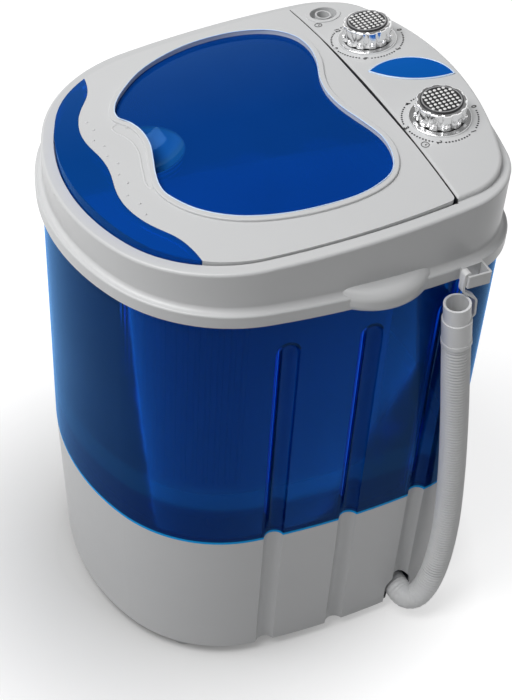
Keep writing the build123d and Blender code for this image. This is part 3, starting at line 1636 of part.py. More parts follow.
# Hook: a strap from the cuff's rear side that bends up and over the bracket's front wall
strap_wall = 2.0
strap_width = 7.0
strap_gap = 0.3
strap_right = loop_reach - loop_wall - 2 * strap_gap
strap_inner_y = loop_front + loop_wall + strap_gap + strap_wall / 2
strap_outer_y = loop_front - strap_gap - strap_wall / 2
strap_top_z = flange_top + strap_gap + strap_wall / 2
strap_points = [
    (strap_inner_y, flange_bottom + 4),
    (strap_inner_y, strap_top_z),
    (strap_outer_y, strap_top_z),
    (strap_outer_y, 438.5),
    (115.5, 427),
    (117, 409),
    (108, 402),
]
strap_radii = [1.9, 1.9, 6.0, 8.0, 4.0]

with BuildPart() as cuff_space:
    with BuildSketch(cuff_plane):
        Circle(cuff_collar_radius)
    extrude(amount=cuff_length)

with BuildPart() as hose_hook:
    with BuildSketch(Plane.YZ.offset(strap_right - strap_width)):
        with BuildLine() as strap_line:
            FilletPolyline(*strap_points, radius=strap_radii)
        trace(strap_line.wires(), line_width=strap_wall)
    extrude(amount=strap_width)
    add(cuff_space.part, mode=Mode.SUBTRACT)
finish(hose_hook, "hose_hook")
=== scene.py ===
from math import cos, pi, radians, sin, sqrt, tan

import bpy
from mathutils import Matrix, Vector


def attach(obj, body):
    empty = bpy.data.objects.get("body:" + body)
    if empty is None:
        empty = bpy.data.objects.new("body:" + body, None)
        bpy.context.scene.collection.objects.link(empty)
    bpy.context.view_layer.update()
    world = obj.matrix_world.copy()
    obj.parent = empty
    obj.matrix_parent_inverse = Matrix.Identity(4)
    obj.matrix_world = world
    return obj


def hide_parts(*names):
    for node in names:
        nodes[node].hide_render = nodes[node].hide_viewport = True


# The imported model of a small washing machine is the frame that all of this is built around.
# Units are metres, +Z is up, the rounded front faces -Y and the hose side is +X.
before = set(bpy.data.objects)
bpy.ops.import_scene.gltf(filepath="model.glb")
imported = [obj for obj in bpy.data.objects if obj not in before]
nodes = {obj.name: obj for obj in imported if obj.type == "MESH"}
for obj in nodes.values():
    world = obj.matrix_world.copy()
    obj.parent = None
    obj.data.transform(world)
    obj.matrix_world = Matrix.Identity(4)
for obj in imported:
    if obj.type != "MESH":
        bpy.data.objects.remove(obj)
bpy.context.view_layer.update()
scene = bpy.context.scene
mm = 0.001

# Camera: it looks down on the right front of the machine from about 1.4 m away, rolled a little.
# Its axis crosses the picture slightly above the middle, which the vertical shift gives.
camera_place = Vector((0.916, -0.456, 1.199))
camera_target = Vector((0.0046, 0.0061, 0.2564))
camera_roll = radians(3.81)
picture_height = 700
axis_above_middle = 7.7
camera_data = bpy.data.cameras.new("camera")
camera_data.lens = 73.74
camera_data.sensor_width = 36
camera_data.shift_y = -axis_above_middle / picture_height
camera_data.clip_start = 0.05
camera_data.clip_end = 60
camera = bpy.data.objects.new("camera", camera_data)
scene.collection.objects.link(camera)
scene.camera = camera
backward = (camera_place - camera_target).normalized()
level_right = Vector((-backward.y, backward.x, 0)).normalized()
level_up = backward.cross(level_right)
rolled_right = level_right * cos(camera_roll) + level_up * sin(camera_roll)
rolled_up = level_up * cos(camera_roll) - level_right * sin(camera_roll)
turn = Matrix((rolled_right, rolled_up, backward)).transposed().to_4x4()
camera.matrix_world = Matrix.Translation(camera_place) @ turn

# Base: a white moulded skirt on four pale feet, closed from below by a grey plate on plated
# screws. The plastic has a faint moulded grain and a slight cloudiness in its colour.
colour_patches = 14
sheen_patches = 90
sheen_change = 0.15
grain_strength = 0.35


def blank(name):
    """A new material with an empty node tree."""
    material = bpy.data.materials.new(name)
    material.use_nodes = True
    material.node_tree.nodes.clear()
    return material, material.node_tree


def join(tree, source, target):
    """Links two sockets."""
    tree.links.new(source, target)


def own_place(tree):
    """Place on the piece in its own axes, so that what is drawn by it stays on the piece."""
    return tree.nodes.new("ShaderNodeTexCoord").outputs["Object"]


def cloud(tree, scale, detail=2.0):
    """Soft noise that is fixed to the piece, 0 to 1."""
    texture = tree.nodes.new("ShaderNodeTexNoise")
    texture.inputs["Scale"].default_value = scale
    texture.inputs["Detail"].default_value = detail
    join(tree, own_place(tree), texture.inputs["Vector"])
    return texture.outputs["Fac"]


def between(tree, share, low, high, start=0.0, stop=1.0):
    """Number that goes from low to high as the share goes from start to stop."""
    spread = tree.nodes.new("ShaderNodeMapRange")
    spread.inputs["From Min"].default_value = start
    spread.inputs["From Max"].default_value = stop
    spread.inputs["To Min"].default_value = low
    spread.inputs["To Max"].default_value = high
    join(tree, share, spread.inputs["Value"])
    return spread.outputs["Result"]


def colour_mix(tree, share, first, second):
    """Colour that goes from the first to the second with the share. Each is a colour or a socket."""
    mix = tree.nodes.new("ShaderNodeMix")
    mix.data_type = "RGBA"
    join(tree, share, mix.inputs["Factor"])
    for side, colour in (("A", first), ("B", second)):
        socket = next(s for s in mix.inputs if s.name == side and s.type == "RGBA")
        if isinstance(colour, tuple):
            socket.default_value = (*colour, 1)
        else:
            join(tree, colour, socket)
    return next(s for s in mix.outputs if s.type == "RGBA")


def clouded(tree, colour, change, scale=colour_patches):
    """The colour, a little lighter and darker in soft patches."""
    darker = tuple(part * (1 - change) for part in colour)
    lighter = tuple(min(1, part * (1 + change)) for part in colour)
    return colour_mix(tree, cloud(tree, scale), darker, lighter)


def ripple(tree, height, strength, depth):
    """Surface normal of bumps of that depth in metres, which the height draws."""
    bump = tree.nodes.new("ShaderNodeBump")
    bump.inputs["Strength"].default_value = strength
    bump.inputs["Distance"].default_value = depth
    join(tree, height, bump.inputs["Height"])
    return bump.outputs["Normal"]


def uneven(tree, amount, scale, change):
    """The amount, a little more and less in soft patches."""
    return between(tree, cloud(tree, scale), amount * (1 - change), amount * (1 + change))


def opaque(name, colour, roughness, metallic=0.0, change=0.03, grain_scale=1300, grain_depth=2e-5):
    """Solid plastic, rubber or metal: clouded colour, uneven sheen and a fine grain. The colour is
    plain, or a function that draws it over the piece."""
    material, tree = blank(name)
    output = tree.nodes.new("ShaderNodeOutputMaterial")
    shader = tree.nodes.new("ShaderNodeBsdfPrincipled")
    base = clouded(tree, colour, change) if isinstance(colour, tuple) else colour(tree)
    fine_grain = ripple(tree, cloud(tree, grain_scale), grain_strength, grain_depth)
    sheen = uneven(tree, roughness, sheen_patches, sheen_change)
    join(tree, base, shader.inputs["Base Color"])
    join(tree, sheen, shader.inputs["Roughness"])
    join(tree, fine_grain, shader.inputs["Normal"])
    shader.inputs["Metallic"].default_value = metallic
    join(tree, shader.outputs["BSDF"], output.inputs["Surface"])
    return material


def dress(material, *names):
    """Gives CAD nodes their material."""
    for name in names:
        nodes[name].data.materials.clear()
        nodes[name].data.materials.append(material)


white_moulding = opaque("white_moulding", (0.6, 0.605, 0.612), 0.36)
grey_moulding = opaque("grey_moulding", (0.2, 0.205, 0.21), 0.5)
pale_moulding = opaque("pale_moulding", (0.5, 0.51, 0.52), 0.45)
black_moulding = opaque("black_moulding", (0.018, 0.018, 0.02), 0.5)
zinc_steel = opaque("zinc_steel", (0.5, 0.51, 0.53), 0.33, metallic=1.0, change=0.08)
dress(white_moulding, "base_housing")
dress(grey_moulding, "bottom_plate")
dress(zinc_steel, "base_screws")
dress(pale_moulding, "foot_front_left", "foot_front_right", "foot_rear_left", "foot_rear_right")
dress(black_moulding, "cord_gland")

# Drive: a painted motor on rubber mounts turns the pulsator's shaft through a flat belt.
# The pulleys and bearing block are moulded, the bushes sintered brass, the rest plated steel.
motor_paint = opaque("motor_paint", (0.04, 0.042, 0.046), 0.36, change=0.1)
soft_rubber = opaque(
    "soft_rubber", (0.022, 0.022, 0.024), 0.72, change=0.15, grain_scale=600, grain_depth=6e-5
)
sintered_brass = opaque(
    "sintered_brass", (0.55, 0.38, 0.14), 0.42, metallic=1.0, change=0.1, grain_scale=2600
)
dress(motor_paint, "motor_housing")
dress(zinc_steel, "motor_shaft", "motor_bracket", "motor_screws", "pulsator_shaft")
dress(zinc_steel, "capacitor_clip", "hose_clamp")
dress(soft_rubber, "motor_mounts", "drive_belt", "shaft_seal")
dress(pale_moulding, "motor_pulley", "run_capacitor", "drain_pipe", "inlet_pipe")
dress(grey_moulding, "motor_fan", "driven_pulley", "bearing_housing")
dress(sintered_brass, "upper_bush", "lower_bush")

# Tub: one milky blue moulding with washboard corners and a sloping skirt round its foot.
# A pale screw holds the white moulded pulsator, and a slotted cover closes the drain.
blue_sheen = (0.2, 0.47, 0.92)
tint_patches = 6
milk_patches = 7
gloss_patches = 60
gloss_change = 0.3
wave_patches = 16
wave_strength = 0.6


def clear_plastic(name, through, body, cover, mirror, roughness, wave=0.0, drawn=None):
    """Tinted clear plastic. Light that passes a face takes the tint called through, and the share
    called cover meets the milky body colour instead. Mirror is the index that sets how much the
    face reflects, and wave the depth of its slow ripple. Drawn is a function that changes the
    cover and the milky colour by place."""
    material, tree = blank(name)
    output = tree.nodes.new("ShaderNodeOutputMaterial")
    passing = tree.nodes.new("ShaderNodeBsdfTransparent")
    join(tree, clouded(tree, through, 0.04, tint_patches), passing.inputs["Color"])
    milk = tree.nodes.new("ShaderNodeBsdfDiffuse")
    join(tree, clouded(tree, body, 0.2, milk_patches), milk.inputs["Color"])
    wall = tree.nodes.new("ShaderNodeMixShader")
    if drawn:
        join(tree, drawn(tree, cover, milk.inputs["Color"]), wall.inputs["Fac"])
    else:
        wall.inputs["Fac"].default_value = cover
    join(tree, passing.outputs["BSDF"], wall.inputs[1])
    join(tree, milk.outputs["BSDF"], wall.inputs[2])
    gloss = tree.nodes.new("ShaderNodeBsdfGlossy")
    gloss.inputs["Color"].default_value = (*blue_sheen, 1)
    join(tree, uneven(tree, roughness, gloss_patches, gloss_change), gloss.inputs["Roughness"])
    if wave:
        slow_wave = ripple(tree, cloud(tree, wave_patches, 1.0), wave_strength, wave)
        join(tree, slow_wave, gloss.inputs["Normal"])
    edge = tree.nodes.new("ShaderNodeFresnel")
    edge.inputs["IOR"].default_value = mirror
    surface = tree.nodes.new("ShaderNodeMixShader")
    join(tree, edge.outputs["Fac"], surface.inputs["Fac"])
    join(tree, wall.outputs["Shader"], surface.inputs[1])
    join(tree, gloss.outputs["BSDF"], surface.inputs[2])
    join(tree, surface.outputs["Shader"], output.inputs["Surface"])
    return material


tub_plastic = clear_plastic(
    "tub_plastic", through=(0.35, 0.6, 0.9), body=(0.26, 0.5, 0.85), cover=0.75, mirror=1.3,
    roughness=0.25,
)
skirt_plastic = clear_plastic(
    "skirt_plastic", through=(0.4, 0.7, 0.95), body=(0.6, 0.98, 1.0), cover=0.95, mirror=1.3,
    roughness=0.3,
)
dress(tub_plastic, "wash_tub")
dress(skirt_plastic, "tub_skirt")
dress(white_moulding, "pulsator")
dress(pale_moulding, "pulsator_screw", "filter_cover")

# Casing: a clear deep blue shell that stands on the base round its lip, with three flutes a side.
# Its cut lower edge shows a bright line of painted light along the joint.
casing_bottom = 173 * mm
# A bright line of painted light along the cut edge at the joint.
edge_glow_height = 2.6 * mm
edge_glow_colour = (0.01, 0.4, 0.95)
edge_glow_cover = 0.95
# A band of painted shade where the plastic laps the base's lip.
shade_band_top = 216 * mm
shade_band_fade = 5 * mm
shade_band_colour = (0.001, 0.022, 0.2)
shade_band_cover = 0.5
# A paler band of painted light where the casing stands off the tub's foot.
lit_band_middle = 234 * mm
lit_band_half = 14 * mm
lit_band_colour = (0.004, 0.115, 0.5)


def worked(tree, operation, *values):
    """Result of a Math node on numbers and sockets."""
    step = tree.nodes.new("ShaderNodeMath")
    step.operation = operation
    for place, value in enumerate(values):
        if isinstance(value, (int, float)):
            step.inputs[place].default_value = value
        else:
            join(tree, value, step.inputs[place])
    return step.outputs["Value"]


def along_axes(tree, place):
    """A place, or a direction, along X, Y and Z."""
    split = tree.nodes.new("ShaderNodeSeparateXYZ")
    join(tree, place, split.inputs["Vector"])
    return split.outputs["X"], split.outputs["Y"], split.outputs["Z"]


def casing_bands(tree, cover, milk_colour):
    """Cover and colour of the casing: full and bright with painted light along the cut edge at the
    joint, and thin above it, with a darker band of painted shade where the plastic laps the base's
    lip and a paler band of painted light where it stands off the tub's foot."""
    height = along_axes(tree, own_place(tree))[2]
    edge_top = casing_bottom + edge_glow_height
    # Edge is the share of the painted light line, dark that of the painted shade band and pale that
    # of the painted light band.
    edge = between(tree, height, 1.0, 0.0, edge_top, edge_top + 0.4 * edge_glow_height)
    dark = between(tree, height, 1.0, 0.0, shade_band_top, shade_band_top + shade_band_fade)
    pale = worked(tree, "COMPARE", height, lit_band_middle, lit_band_half)
    colour = colour_mix(tree, pale, milk_colour.links[0].from_socket, lit_band_colour)
    colour = colour_mix(tree, dark, colour, shade_band_colour)
    join(tree, colour_mix(tree, edge, colour, edge_glow_colour), milk_colour)
    covered = between(tree, dark, cover, shade_band_cover)
    return worked(tree, "MAXIMUM", covered, between(tree, edge, 0.0, edge_glow_cover))


casing_plastic = clear_plastic(
    "casing_plastic", through=(0.16, 0.57, 0.88), body=(0.001, 0.066, 0.37), cover=0.27,
    mirror=1.22, roughness=0.05, wave=2e-4, drawn=casing_bands,
)
dress(casing_plastic, "outer_casing")

# Top frame: the white ring over the casing with its flange, grips, hinge pins and the loop that
# holds the hose's hook. All are the same satin moulding, with painted shade deep in the seam
# between lid and panel, where little light reaches.
crown_radius = 1250 * mm
crown_slope = radians(5.7)
crown_middle = 514 * mm
seam_middle = 99.6 * mm
seam_half_width = 1.3 * mm
seam_half_length = 159.5 * mm
seam_lip = 0.5 * mm
frame_white = (0.605, 0.61, 0.615)
# Painted shade deep in the seam between lid and panel.
seam_shade_grey = (0.035, 0.035, 0.037)


def seam_shade(tree):
    """White, with painted shade below the crowned skin in the seam between lid and panel."""
    x, y, z = along_axes(tree, own_place(tree))
    slope = worked(tree, "MULTIPLY", y, tan(crown_slope))
    square = worked(tree, "MULTIPLY", x, x)
    fall = worked(tree, "MULTIPLY", square, 0.5 / crown_radius / cos(crown_slope))
    skin = worked(tree, "ADD", worked(tree, "SUBTRACT", slope, fall), crown_middle)
    sunk = worked(tree, "LESS_THAN", z, worked(tree, "SUBTRACT", skin, seam_lip))
    within = worked(tree, "COMPARE", y, seam_middle, seam_half_width)
    inboard = worked(tree, "LESS_THAN", worked(tree, "ABSOLUTE", x), seam_half_length)
    share = worked(tree, "MULTIPLY", worked(tree, "MULTIPLY", sunk, within), inboard)
    return colour_mix(tree, share, clouded(tree, frame_white, 0.02), seam_shade_grey)


frame_moulding = opaque("frame_moulding", seam_shade, 0.34)
dress(frame_moulding, "top_frame", "grip_left", "grip_right", "hose_bracket")
dress(zinc_steel, "hinge_pin_left", "hinge_pin_right")

# Control panel: a white crowned moulding with a dished water inlet, two timers below it and a
# blue leaf-shaped insert that stands a little proud, edged with a thin pale bead of painted
# highlight.
leaf_tips = (Vector((-18.5, 111)) * mm, Vector((18.6, 175)) * mm)
leaf_bulges = (23 * mm, -10 * mm)
leaf_steps = 40
# A thin pale bead round the leaf is a painted highlight on its edge.
leaf_highlight_radius = 0.85 * mm
leaf_highlight_lift = 0.35 * mm


def outward(x):
    """Direction square to the crowned skin of lid and panel."""
    lean = x / crown_radius
    level = sqrt(1 - lean * lean)
    return Vector((lean, -level * sin(crown_slope), level * cos(crown_slope)))


def on_crown(x, y, lift=0.0):
    """Point on the crowned skin, raised square to it by the lift."""
    lean = x / crown_radius
    fall = crown_radius * (1 - sqrt(1 - lean * lean)) / cos(crown_slope)
    return Vector((x, y, crown_middle + y * tan(crown_slope) - fall)) + outward(x) * lift


def fitted(name, mesh, body):
    """New piece from a mesh, on its body."""
    piece = bpy.data.objects.new(name, mesh)
    scene.collection.objects.link(piece)
    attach(piece, body)
    return piece


def shaped(name, points, faces, material, body, slot_name, smooth=True):
    """New piece from points and faces."""
    mesh = bpy.data.meshes.new(name)
    mesh.from_pydata(points, [], faces)
    mesh.update()
    mesh.materials.append(material)
    for polygon in mesh.polygons:
        polygon.use_smooth = smooth
    return fitted(name, mesh, body)


def ring_faces(rings, sides, closed):
    """Faces that join rings of points, one ring to the next."""
    faces = []
    for ring in range(rings if closed else rings - 1):
        here, there = ring * sides, (ring + 1) % rings * sides
        for side in range(sides):
            turned = (side + 1) % sides
            faces.append((here + side, here + turned, there + turned, there + side))
    return faces


def thread(line, closed, radius, sides=8):
    """Points and faces of a thin round bead that follows a line of points."""
    points = []
    total = len(line)
    for place, centre in enumerate(line):
        ahead = line[(place + 1) % total] if closed or place < total - 1 else line[place]
        behind = line[place - 1] if closed or place else line[place]
        along = (ahead - behind).normalized()
        across = along.cross(Vector((0, 0, 1))).normalized()
        lifted = across.cross(along)
        for side in range(sides):
            angle = 2 * pi * side / sides
            points.append(centre + (across * cos(angle) + lifted * sin(angle)) * radius)
    faces = ring_faces(total, sides, closed)
    if not closed:
        faces.append(tuple(range(sides - 1, -1, -1)))
        faces.append(tuple(range((total - 1) * sides, total * sides)))
    return points, faces


def leaf_side(bulge, share):
    """Point on one side of the leaf, an arc of that bulge over its chord."""
    chord = leaf_tips[1] - leaf_tips[0]
    along = chord.normalized()
    across = Vector((-along.y, along.x))
    radius = (chord.length**2 / 4 + bulge**2) / (2 * abs(bulge))
    from_middle = (share - 0.5) * chord.length
    rise = sqrt(radius**2 - from_middle**2) - (radius - abs(bulge))
    return leaf_tips[0] + chord * share + across * rise * (1 if bulge > 0 else -1)


# Pale material for beads that stand for the highlight on clear edges: painted highlight.
painted_highlight = opaque("painted_highlight", (0.62, 0.76, 0.95), 0.2, change=0.05, grain_depth=5e-6)
leaf_plastic = clear_plastic(
    "leaf_plastic", through=(0.02, 0.3, 0.85), body=(0.004, 0.13, 0.55), cover=0.75, mirror=1.3,
    roughness=0.08,
)
dress(frame_moulding, "control_panel", "inlet_cup")
dress(leaf_plastic, "panel_window")
dress(grey_moulding, "wash_timer", "spin_timer")
dress(pale_moulding, "wash_timer_shaft", "spin_timer_shaft")

leaf_shares = [step / leaf_steps for step in range(leaf_steps)]
leaf_edge = [leaf_side(leaf_bulges[0], share) for share in leaf_shares]
leaf_edge += [leaf_side(leaf_bulges[1], 1 - share) for share in leaf_shares]
# The leaf's painted highlight: a pale bead along its edge.
leaf_highlight_line = thread([on_crown(*spot, leaf_highlight_lift) for spot in leaf_edge], True, leaf_highlight_radius)
shaped("leaf_edge_highlight", *leaf_highlight_line, painted_highlight, "machine", "clear_blue")

# Dials: a satin dished bezel, a chrome knob with twelve lobes that is pushed onto its timer's
# shaft, and a cap with a grid of bright studs on dark grey. A printed scale of numbers and dots
# runs round each, with a clock sign beside it.
dial_x = 66.5 * mm
dial_y = 134.3 * mm
cap_face = 19.4 * mm
cap_face_radius = 16.2 * mm
cap_rim_radius = 17.4 * mm
cap_grey = (0.03, 0.03, 0.032)
cap_ring_grey = (0.4, 0.4, 0.41)
stud_white = (0.95, 0.95, 0.95)
stud_from = 0.2 * mm
stud_pitch = 4.2 * mm
stud_circle = 15.5 * mm
stud_head_radius = 1.5 * mm
stud_head_height = 0.5 * mm
dome_sides = 12
dome_rings = ((1.0, -0.1), (0.92, 0.45), (0.6, 0.85))
scale_radius = 32.3 * mm
scale_step = radians(60)
spaces_between = 12
scale_dot_radius = 0.82 * mm
scale_dot_height = 0.2 * mm
scale_dot_sides = 14
number_size = 6.4 * mm
number_bolder = 0.17 * mm
print_half_height = 0.05 * mm
number_lift = 0.16 * mm
sign_radius = 3.3 * mm
sign_lift = 0.14 * mm
sign_ring_radius = 0.3 * mm
sign_hand_radius = 0.28 * mm
sign_steps = 32
chrome = opaque("chrome", (0.92, 0.92, 0.925), 0.13, metallic=1.0, change=0.02, grain_depth=2e-6)
satin_plate = opaque("satin_plate", (0.82, 0.825, 0.83), 0.2, metallic=1.0, grain_depth=5e-6)
stud_silver = opaque("stud_silver", (0.9, 0.9, 0.9), 0.35, change=0.02, grain_depth=5e-6)
ink = opaque("scale_ink", (0.012, 0.012, 0.013), 0.5)
dress(chrome, "wash_knob", "spin_knob")
dress(satin_plate, "wash_knob_bezel", "spin_knob_bezel")


def vector_worked(tree, operation, place, *value, result="Vector"):
    """Result of a Vector Math node on a socket and, where one is given, a fixed vector."""
    step = tree.nodes.new("ShaderNodeVectorMath")
    step.operation = operation
    join(tree, place, step.inputs[0])
    if value:
        step.inputs[1].default_value = value[0]
    return step.outputs[result]


def cap_colours(centre, normal):
    """Colour of a cap by place: bright studs over dark grey, then a grey ring and a dark rim."""

    def drawn(tree):
        offset = vector_worked(tree, "SUBTRACT", own_place(tree), centre)
        height = vector_worked(tree, "DOT_PRODUCT", offset, normal, result="Value")
        sideways = vector_worked(tree, "CROSS_PRODUCT", offset, normal)
        radius = vector_worked(tree, "LENGTH", sideways, result="Value")
        on_stud = worked(tree, "GREATER_THAN", height, cap_face + stud_from)
        on_ring = worked(tree, "GREATER_THAN", radius, cap_face_radius)
        on_rim = worked(tree, "GREATER_THAN", radius, cap_rim_radius)
        face = colour_mix(tree, on_stud, cap_grey, stud_white)
        return colour_mix(tree, on_rim, colour_mix(tree, on_ring, face, cap_ring_grey), cap_grey)

    return drawn


def skin_axes(x):
    """Right, rear and outward directions of the crowned skin."""
    normal = outward(x)
    rearward = (Vector((0, 1, 0)) - normal * normal.y).normalized()
    return rearward.cross(normal), rearward, normal


def spokes(normal, radius, sides):
    """Spokes of that length round a direction."""
    across = normal.cross(Vector((0, 1, 0))).normalized()
    other = normal.cross(across)
    angles = [2 * pi * side / sides for side in range(sides)]
    return [(across * cos(angle) + other * sin(angle)) * radius for angle in angles]


def add_shape(points, faces, more_points, more_faces):
    """Adds points and the faces on them to a piece."""
    start = len(points)
    points.extend(more_points)
    faces.extend(tuple(start + corner for corner in face) for face in more_faces)


def dome(centre, normal, radius, height):
    """Points and faces of a low dome that stands on a surface, its foot a little sunk."""
    points = []
    for share, rise in dome_rings:
        level = centre + normal * height * rise
        points.extend(level + spoke for spoke in spokes(normal, radius * share, dome_sides))
    points.append(centre + normal * height)
    faces = ring_faces(len(dome_rings), dome_sides, False)
    tip = len(points) - 1
    top = tip - dome_sides
    for side in range(dome_sides):
        faces.append((top + side, top + (side + 1) % dome_sides, tip))
    faces.append(tuple(range(dome_sides - 1, -1, -1)))
    return points, faces


def stud_heads(name, x):
    """Bright rounded heads on the grid of studs of one cap."""
    points, faces = [], []
    rightward, rearward, normal = skin_axes(x)
    face_middle = on_crown(x, dial_y, cap_face)
    for column in range(-3, 4):
        for row in range(-3, 4):
            spoke = (rightward * column + rearward * row) * stud_pitch
            if spoke.length < stud_circle:
                head = dome(face_middle + spoke, normal, stud_head_radius, stud_head_height)
                add_shape(points, faces, *head)
    shaped(f"{name}_stud_heads", points, faces, stud_silver, f"{name}_knob", "satin_silver")


def flat_disc(centre, normal, radius, height, sides):
    """Points and faces of a low disc that stands on the skin."""
    foot = [centre + spoke for spoke in spokes(normal, radius, sides)]
    points = foot + [point + normal * height for point in foot]
    faces = ring_faces(2, sides, False)
    faces.append(tuple(range(sides, 2 * sides)))
    faces.append(tuple(range(sides - 1, -1, -1)))
    return points, faces


def printed(name, number, x, y):
    """Number printed on the skin, its top towards the rear."""
    outline = bpy.data.curves.new(name, "FONT")
    outline.body = number
    outline.size = number_size
    outline.align_x = "CENTER"
    outline.align_y = "CENTER"
    outline.extrude = print_half_height
    outline.offset = number_bolder
    helper = bpy.data.objects.new(name, outline)
    mesh = bpy.data.meshes.new_from_object(helper)
    bpy.data.objects.remove(helper)
    stand = Matrix(skin_axes(x)).transposed().to_4x4()
    mesh.transform(Matrix.Translation(on_crown(x, y, number_lift)) @ stand)
    mesh.materials.clear()
    mesh.materials.append(ink)
    fitted(name, mesh, "machine")


def dial_scale(name, x, numbers):
    """Numbers clockwise from the rear, and a row of dots between them."""
    points, faces = [], []
    for place, number in enumerate(numbers):
        angle = radians(90) - place * scale_step
        number_x = x + scale_radius * cos(angle)
        printed(f"{name}_scale_{number}", number, number_x, dial_y + scale_radius * sin(angle))
        if place == len(numbers) - 1:
            continue
        for space in range(2, spaces_between - 1):
            turned = angle - scale_step * space / spaces_between
            dot_x = x + scale_radius * cos(turned)
            centre = on_crown(dot_x, dial_y + scale_radius * sin(turned))
            sizes = (scale_dot_radius, scale_dot_height, scale_dot_sides)
            add_shape(points, faces, *flat_disc(centre, outward(dot_x), *sizes))
    shaped(f"{name}_scale_dots", points, faces, ink, "machine", "black_plastic", smooth=False)


def clock_sign(name, x, y):
    """Generic sign for a timer: a ring and two hands, printed on the skin."""
    angles = [2 * pi * step / sign_steps for step in range(sign_steps)]
    ring = [
        on_crown(x + sign_radius * cos(angle), y + sign_radius * sin(angle), sign_lift)
        for angle in angles
    ]
    points, faces = thread(ring, True, sign_ring_radius, 6)
    for end_x, end_y in ((0, 0.62 * sign_radius), (0.5 * sign_radius, 0)):
        hand = [on_crown(x, y, sign_lift), on_crown(x + end_x, y + end_y, sign_lift)]
        add_shape(points, faces, *thread(hand, False, sign_hand_radius, 6))
    shaped(f"{name}_clock_sign", points, faces, ink, "machine", "black_plastic")


for name, x, numbers, sign_spot in (
    ("wash", -dial_x, ("0", "3", "6", "9", "12", "15"), (-112.5 * mm, 108 * mm)),
    ("spin", dial_x, ("0", "1", "2", "3", "4", "5"), (92 * mm, 106.3 * mm)),
):
    cap_look = cap_colours(tuple(on_crown(x, dial_y)), tuple(outward(x)))
    cap_finish = opaque(f"{name}_cap_finish", cap_look, 0.3, metallic=0.35, grain_depth=5e-6)
    dress(cap_finish, f"{name}_knob_cap")
    stud_heads(name, x)
    dial_scale(name, x, numbers)
    clock_sign(name, *sign_spot)

# Lid: a white moulded frame that hinges on two pins and holds a clear blue window and a clear
# front crescent. The frame carries a ridged tongue beside the finger bowl, rows of small moulded
# dots, and a thin pale bead of painted highlight where the window ends.
window_points = [
    (-58, -109), (-75, -105), (-96, -90), (-120, -64), (-136, -32), (-143, 0), (-140, 36),
    (-126, 64), (-104, 79), (-78, 82), (-52, 77), (-28, 68), (-4, 64), (20, 66), (46, 73),
    (70, 78), (94, 75), (112, 64), (122, 40), (124, 12), (119, -30), (106, -67), (86, -93),
    (62, -108), (47, -111), (30, -108.5), (12, -103.5), (-8, -98.5), (-28, -98), (-44, -102),
]
# A thin pale bead along the window's edge is a painted highlight.
window_highlight_lift = 2.05 * mm
window_highlight_radius = 0.5 * mm
bowl_centre = (-8 * mm, -104 * mm)
bowl_radius = 35 * mm
bowl_colour = (0.012, 0.15, 0.52)
bowl_cover = 0.55
tongue_dots = [
    (-41.7, -106.7), (-33.6, -102.9), (-22.4, -99.4), (-10.2, -100.3), (3, -103), (16.2, -107.8),
]
row_dots = [
    (-65.9, -134), (-51.8, -132.5), (-37.4, -137.9), (-25.9, -132.6), (-11.5, -135), (2, -130.7),
    (16, -135.3), (29.2, -132.5), (43.6, -138), (57.3, -132.5), (71, -132.9),
]
tongue_dot_size = (1.25 * mm, 0.95 * mm)
row_dot_size = (1.1 * mm, 0.85 * mm)
ridge_points = [
    (-50, -113.5), (-46.6, -118), (-38, -117), (-31.7, -113.5), (-22, -110.5), (-13.4, -109.8),
    (-4, -110.2), (5.8, -112.2), (15, -114.8), (24.7, -117), (33, -119), (41, -119.3),
    (45, -116.5),
]
ridge_lift = -0.35 * mm
ridge_radius = 0.9 * mm
steps_between = 8


def lighter_bowl(tree, cover, milk_colour):
    """Cover and colour of the window: the finger bowl is a paler, cloudier blue than the rest."""
    offset = vector_worked(tree, "SUBTRACT", own_place(tree), (*bowl_centre, 0))
    level = vector_worked(tree, "MULTIPLY", offset, (1, 1, 0))
    reach = vector_worked(tree, "LENGTH", level, result="Value")
    inside = between(tree, reach, 1.0, 0.0, 0.94 * bowl_radius, bowl_radius)
    plain = milk_colour.links[0].from_socket
    join(tree, colour_mix(tree, inside, plain, bowl_colour), milk_colour)
    return between(tree, inside, cover, bowl_cover)


def skin_line(flat_points, closed, lift):
    """Points on the crowned skin along a smooth line through the given ones."""
    total = len(flat_points)
    spots = [Vector(point) * mm for point in flat_points]
    line = []
    for place in range(total if closed else total - 1):
        ends = [place - 1, place, place + 1, place + 2]
        before, start, stop, after = (
            spots[end % total] if closed else spots[min(max(end, 0), total - 1)] for end in ends
        )
        for step in range(steps_between):
            share = step / steps_between
            pull = (stop - before) * share
            pull += (2 * before - 5 * start + 4 * stop - after) * share**2
            pull += (3 * start - before - 3 * stop + after) * share**3
            line.append(on_crown(*(start + pull / 2), lift))
    return line if closed else [*line, on_crown(*spots[-1], lift)]


window_plastic = clear_plastic(
    "window_plastic", through=(0.18, 0.56, 0.92), body=(0.002, 0.075, 0.42), cover=0.5,
    mirror=1.3, roughness=0.05, wave=4e-4, drawn=lighter_bowl,
)
crescent_plastic = clear_plastic(
    "crescent_plastic", through=(0.12, 0.5, 0.9), body=(0.003, 0.1, 0.5), cover=0.45,
    mirror=1.3, roughness=0.05,
)
dress(frame_moulding, "lid_frame")
dress(window_plastic, "lid_window")
dress(crescent_plastic, "lid_crescent")

dot_points, dot_faces = [], []
for spots, sizes in ((tongue_dots, tongue_dot_size), (row_dots, row_dot_size)):
    for x, y in spots:
        bump = dome(on_crown(x * mm, y * mm), outward(x * mm), *sizes)
        add_shape(dot_points, dot_faces, *bump)
shaped("lid_dots", dot_points, dot_faces, frame_moulding, "lid", "white_shell")
# Painted highlight: a thin pale bead along the window's edge.
window_highlight_line = thread(skin_line(window_points, True, window_highlight_lift), True, window_highlight_radius)
shaped("window_edge_highlight", *window_highlight_line, painted_highlight, "lid", "white_shell")
ridge_bead = thread(skin_line(ridge_points, False, ridge_lift), False, ridge_radius, 12)
shaped("tongue_ridge", *ridge_bead, frame_moulding, "lid", "white_shell")
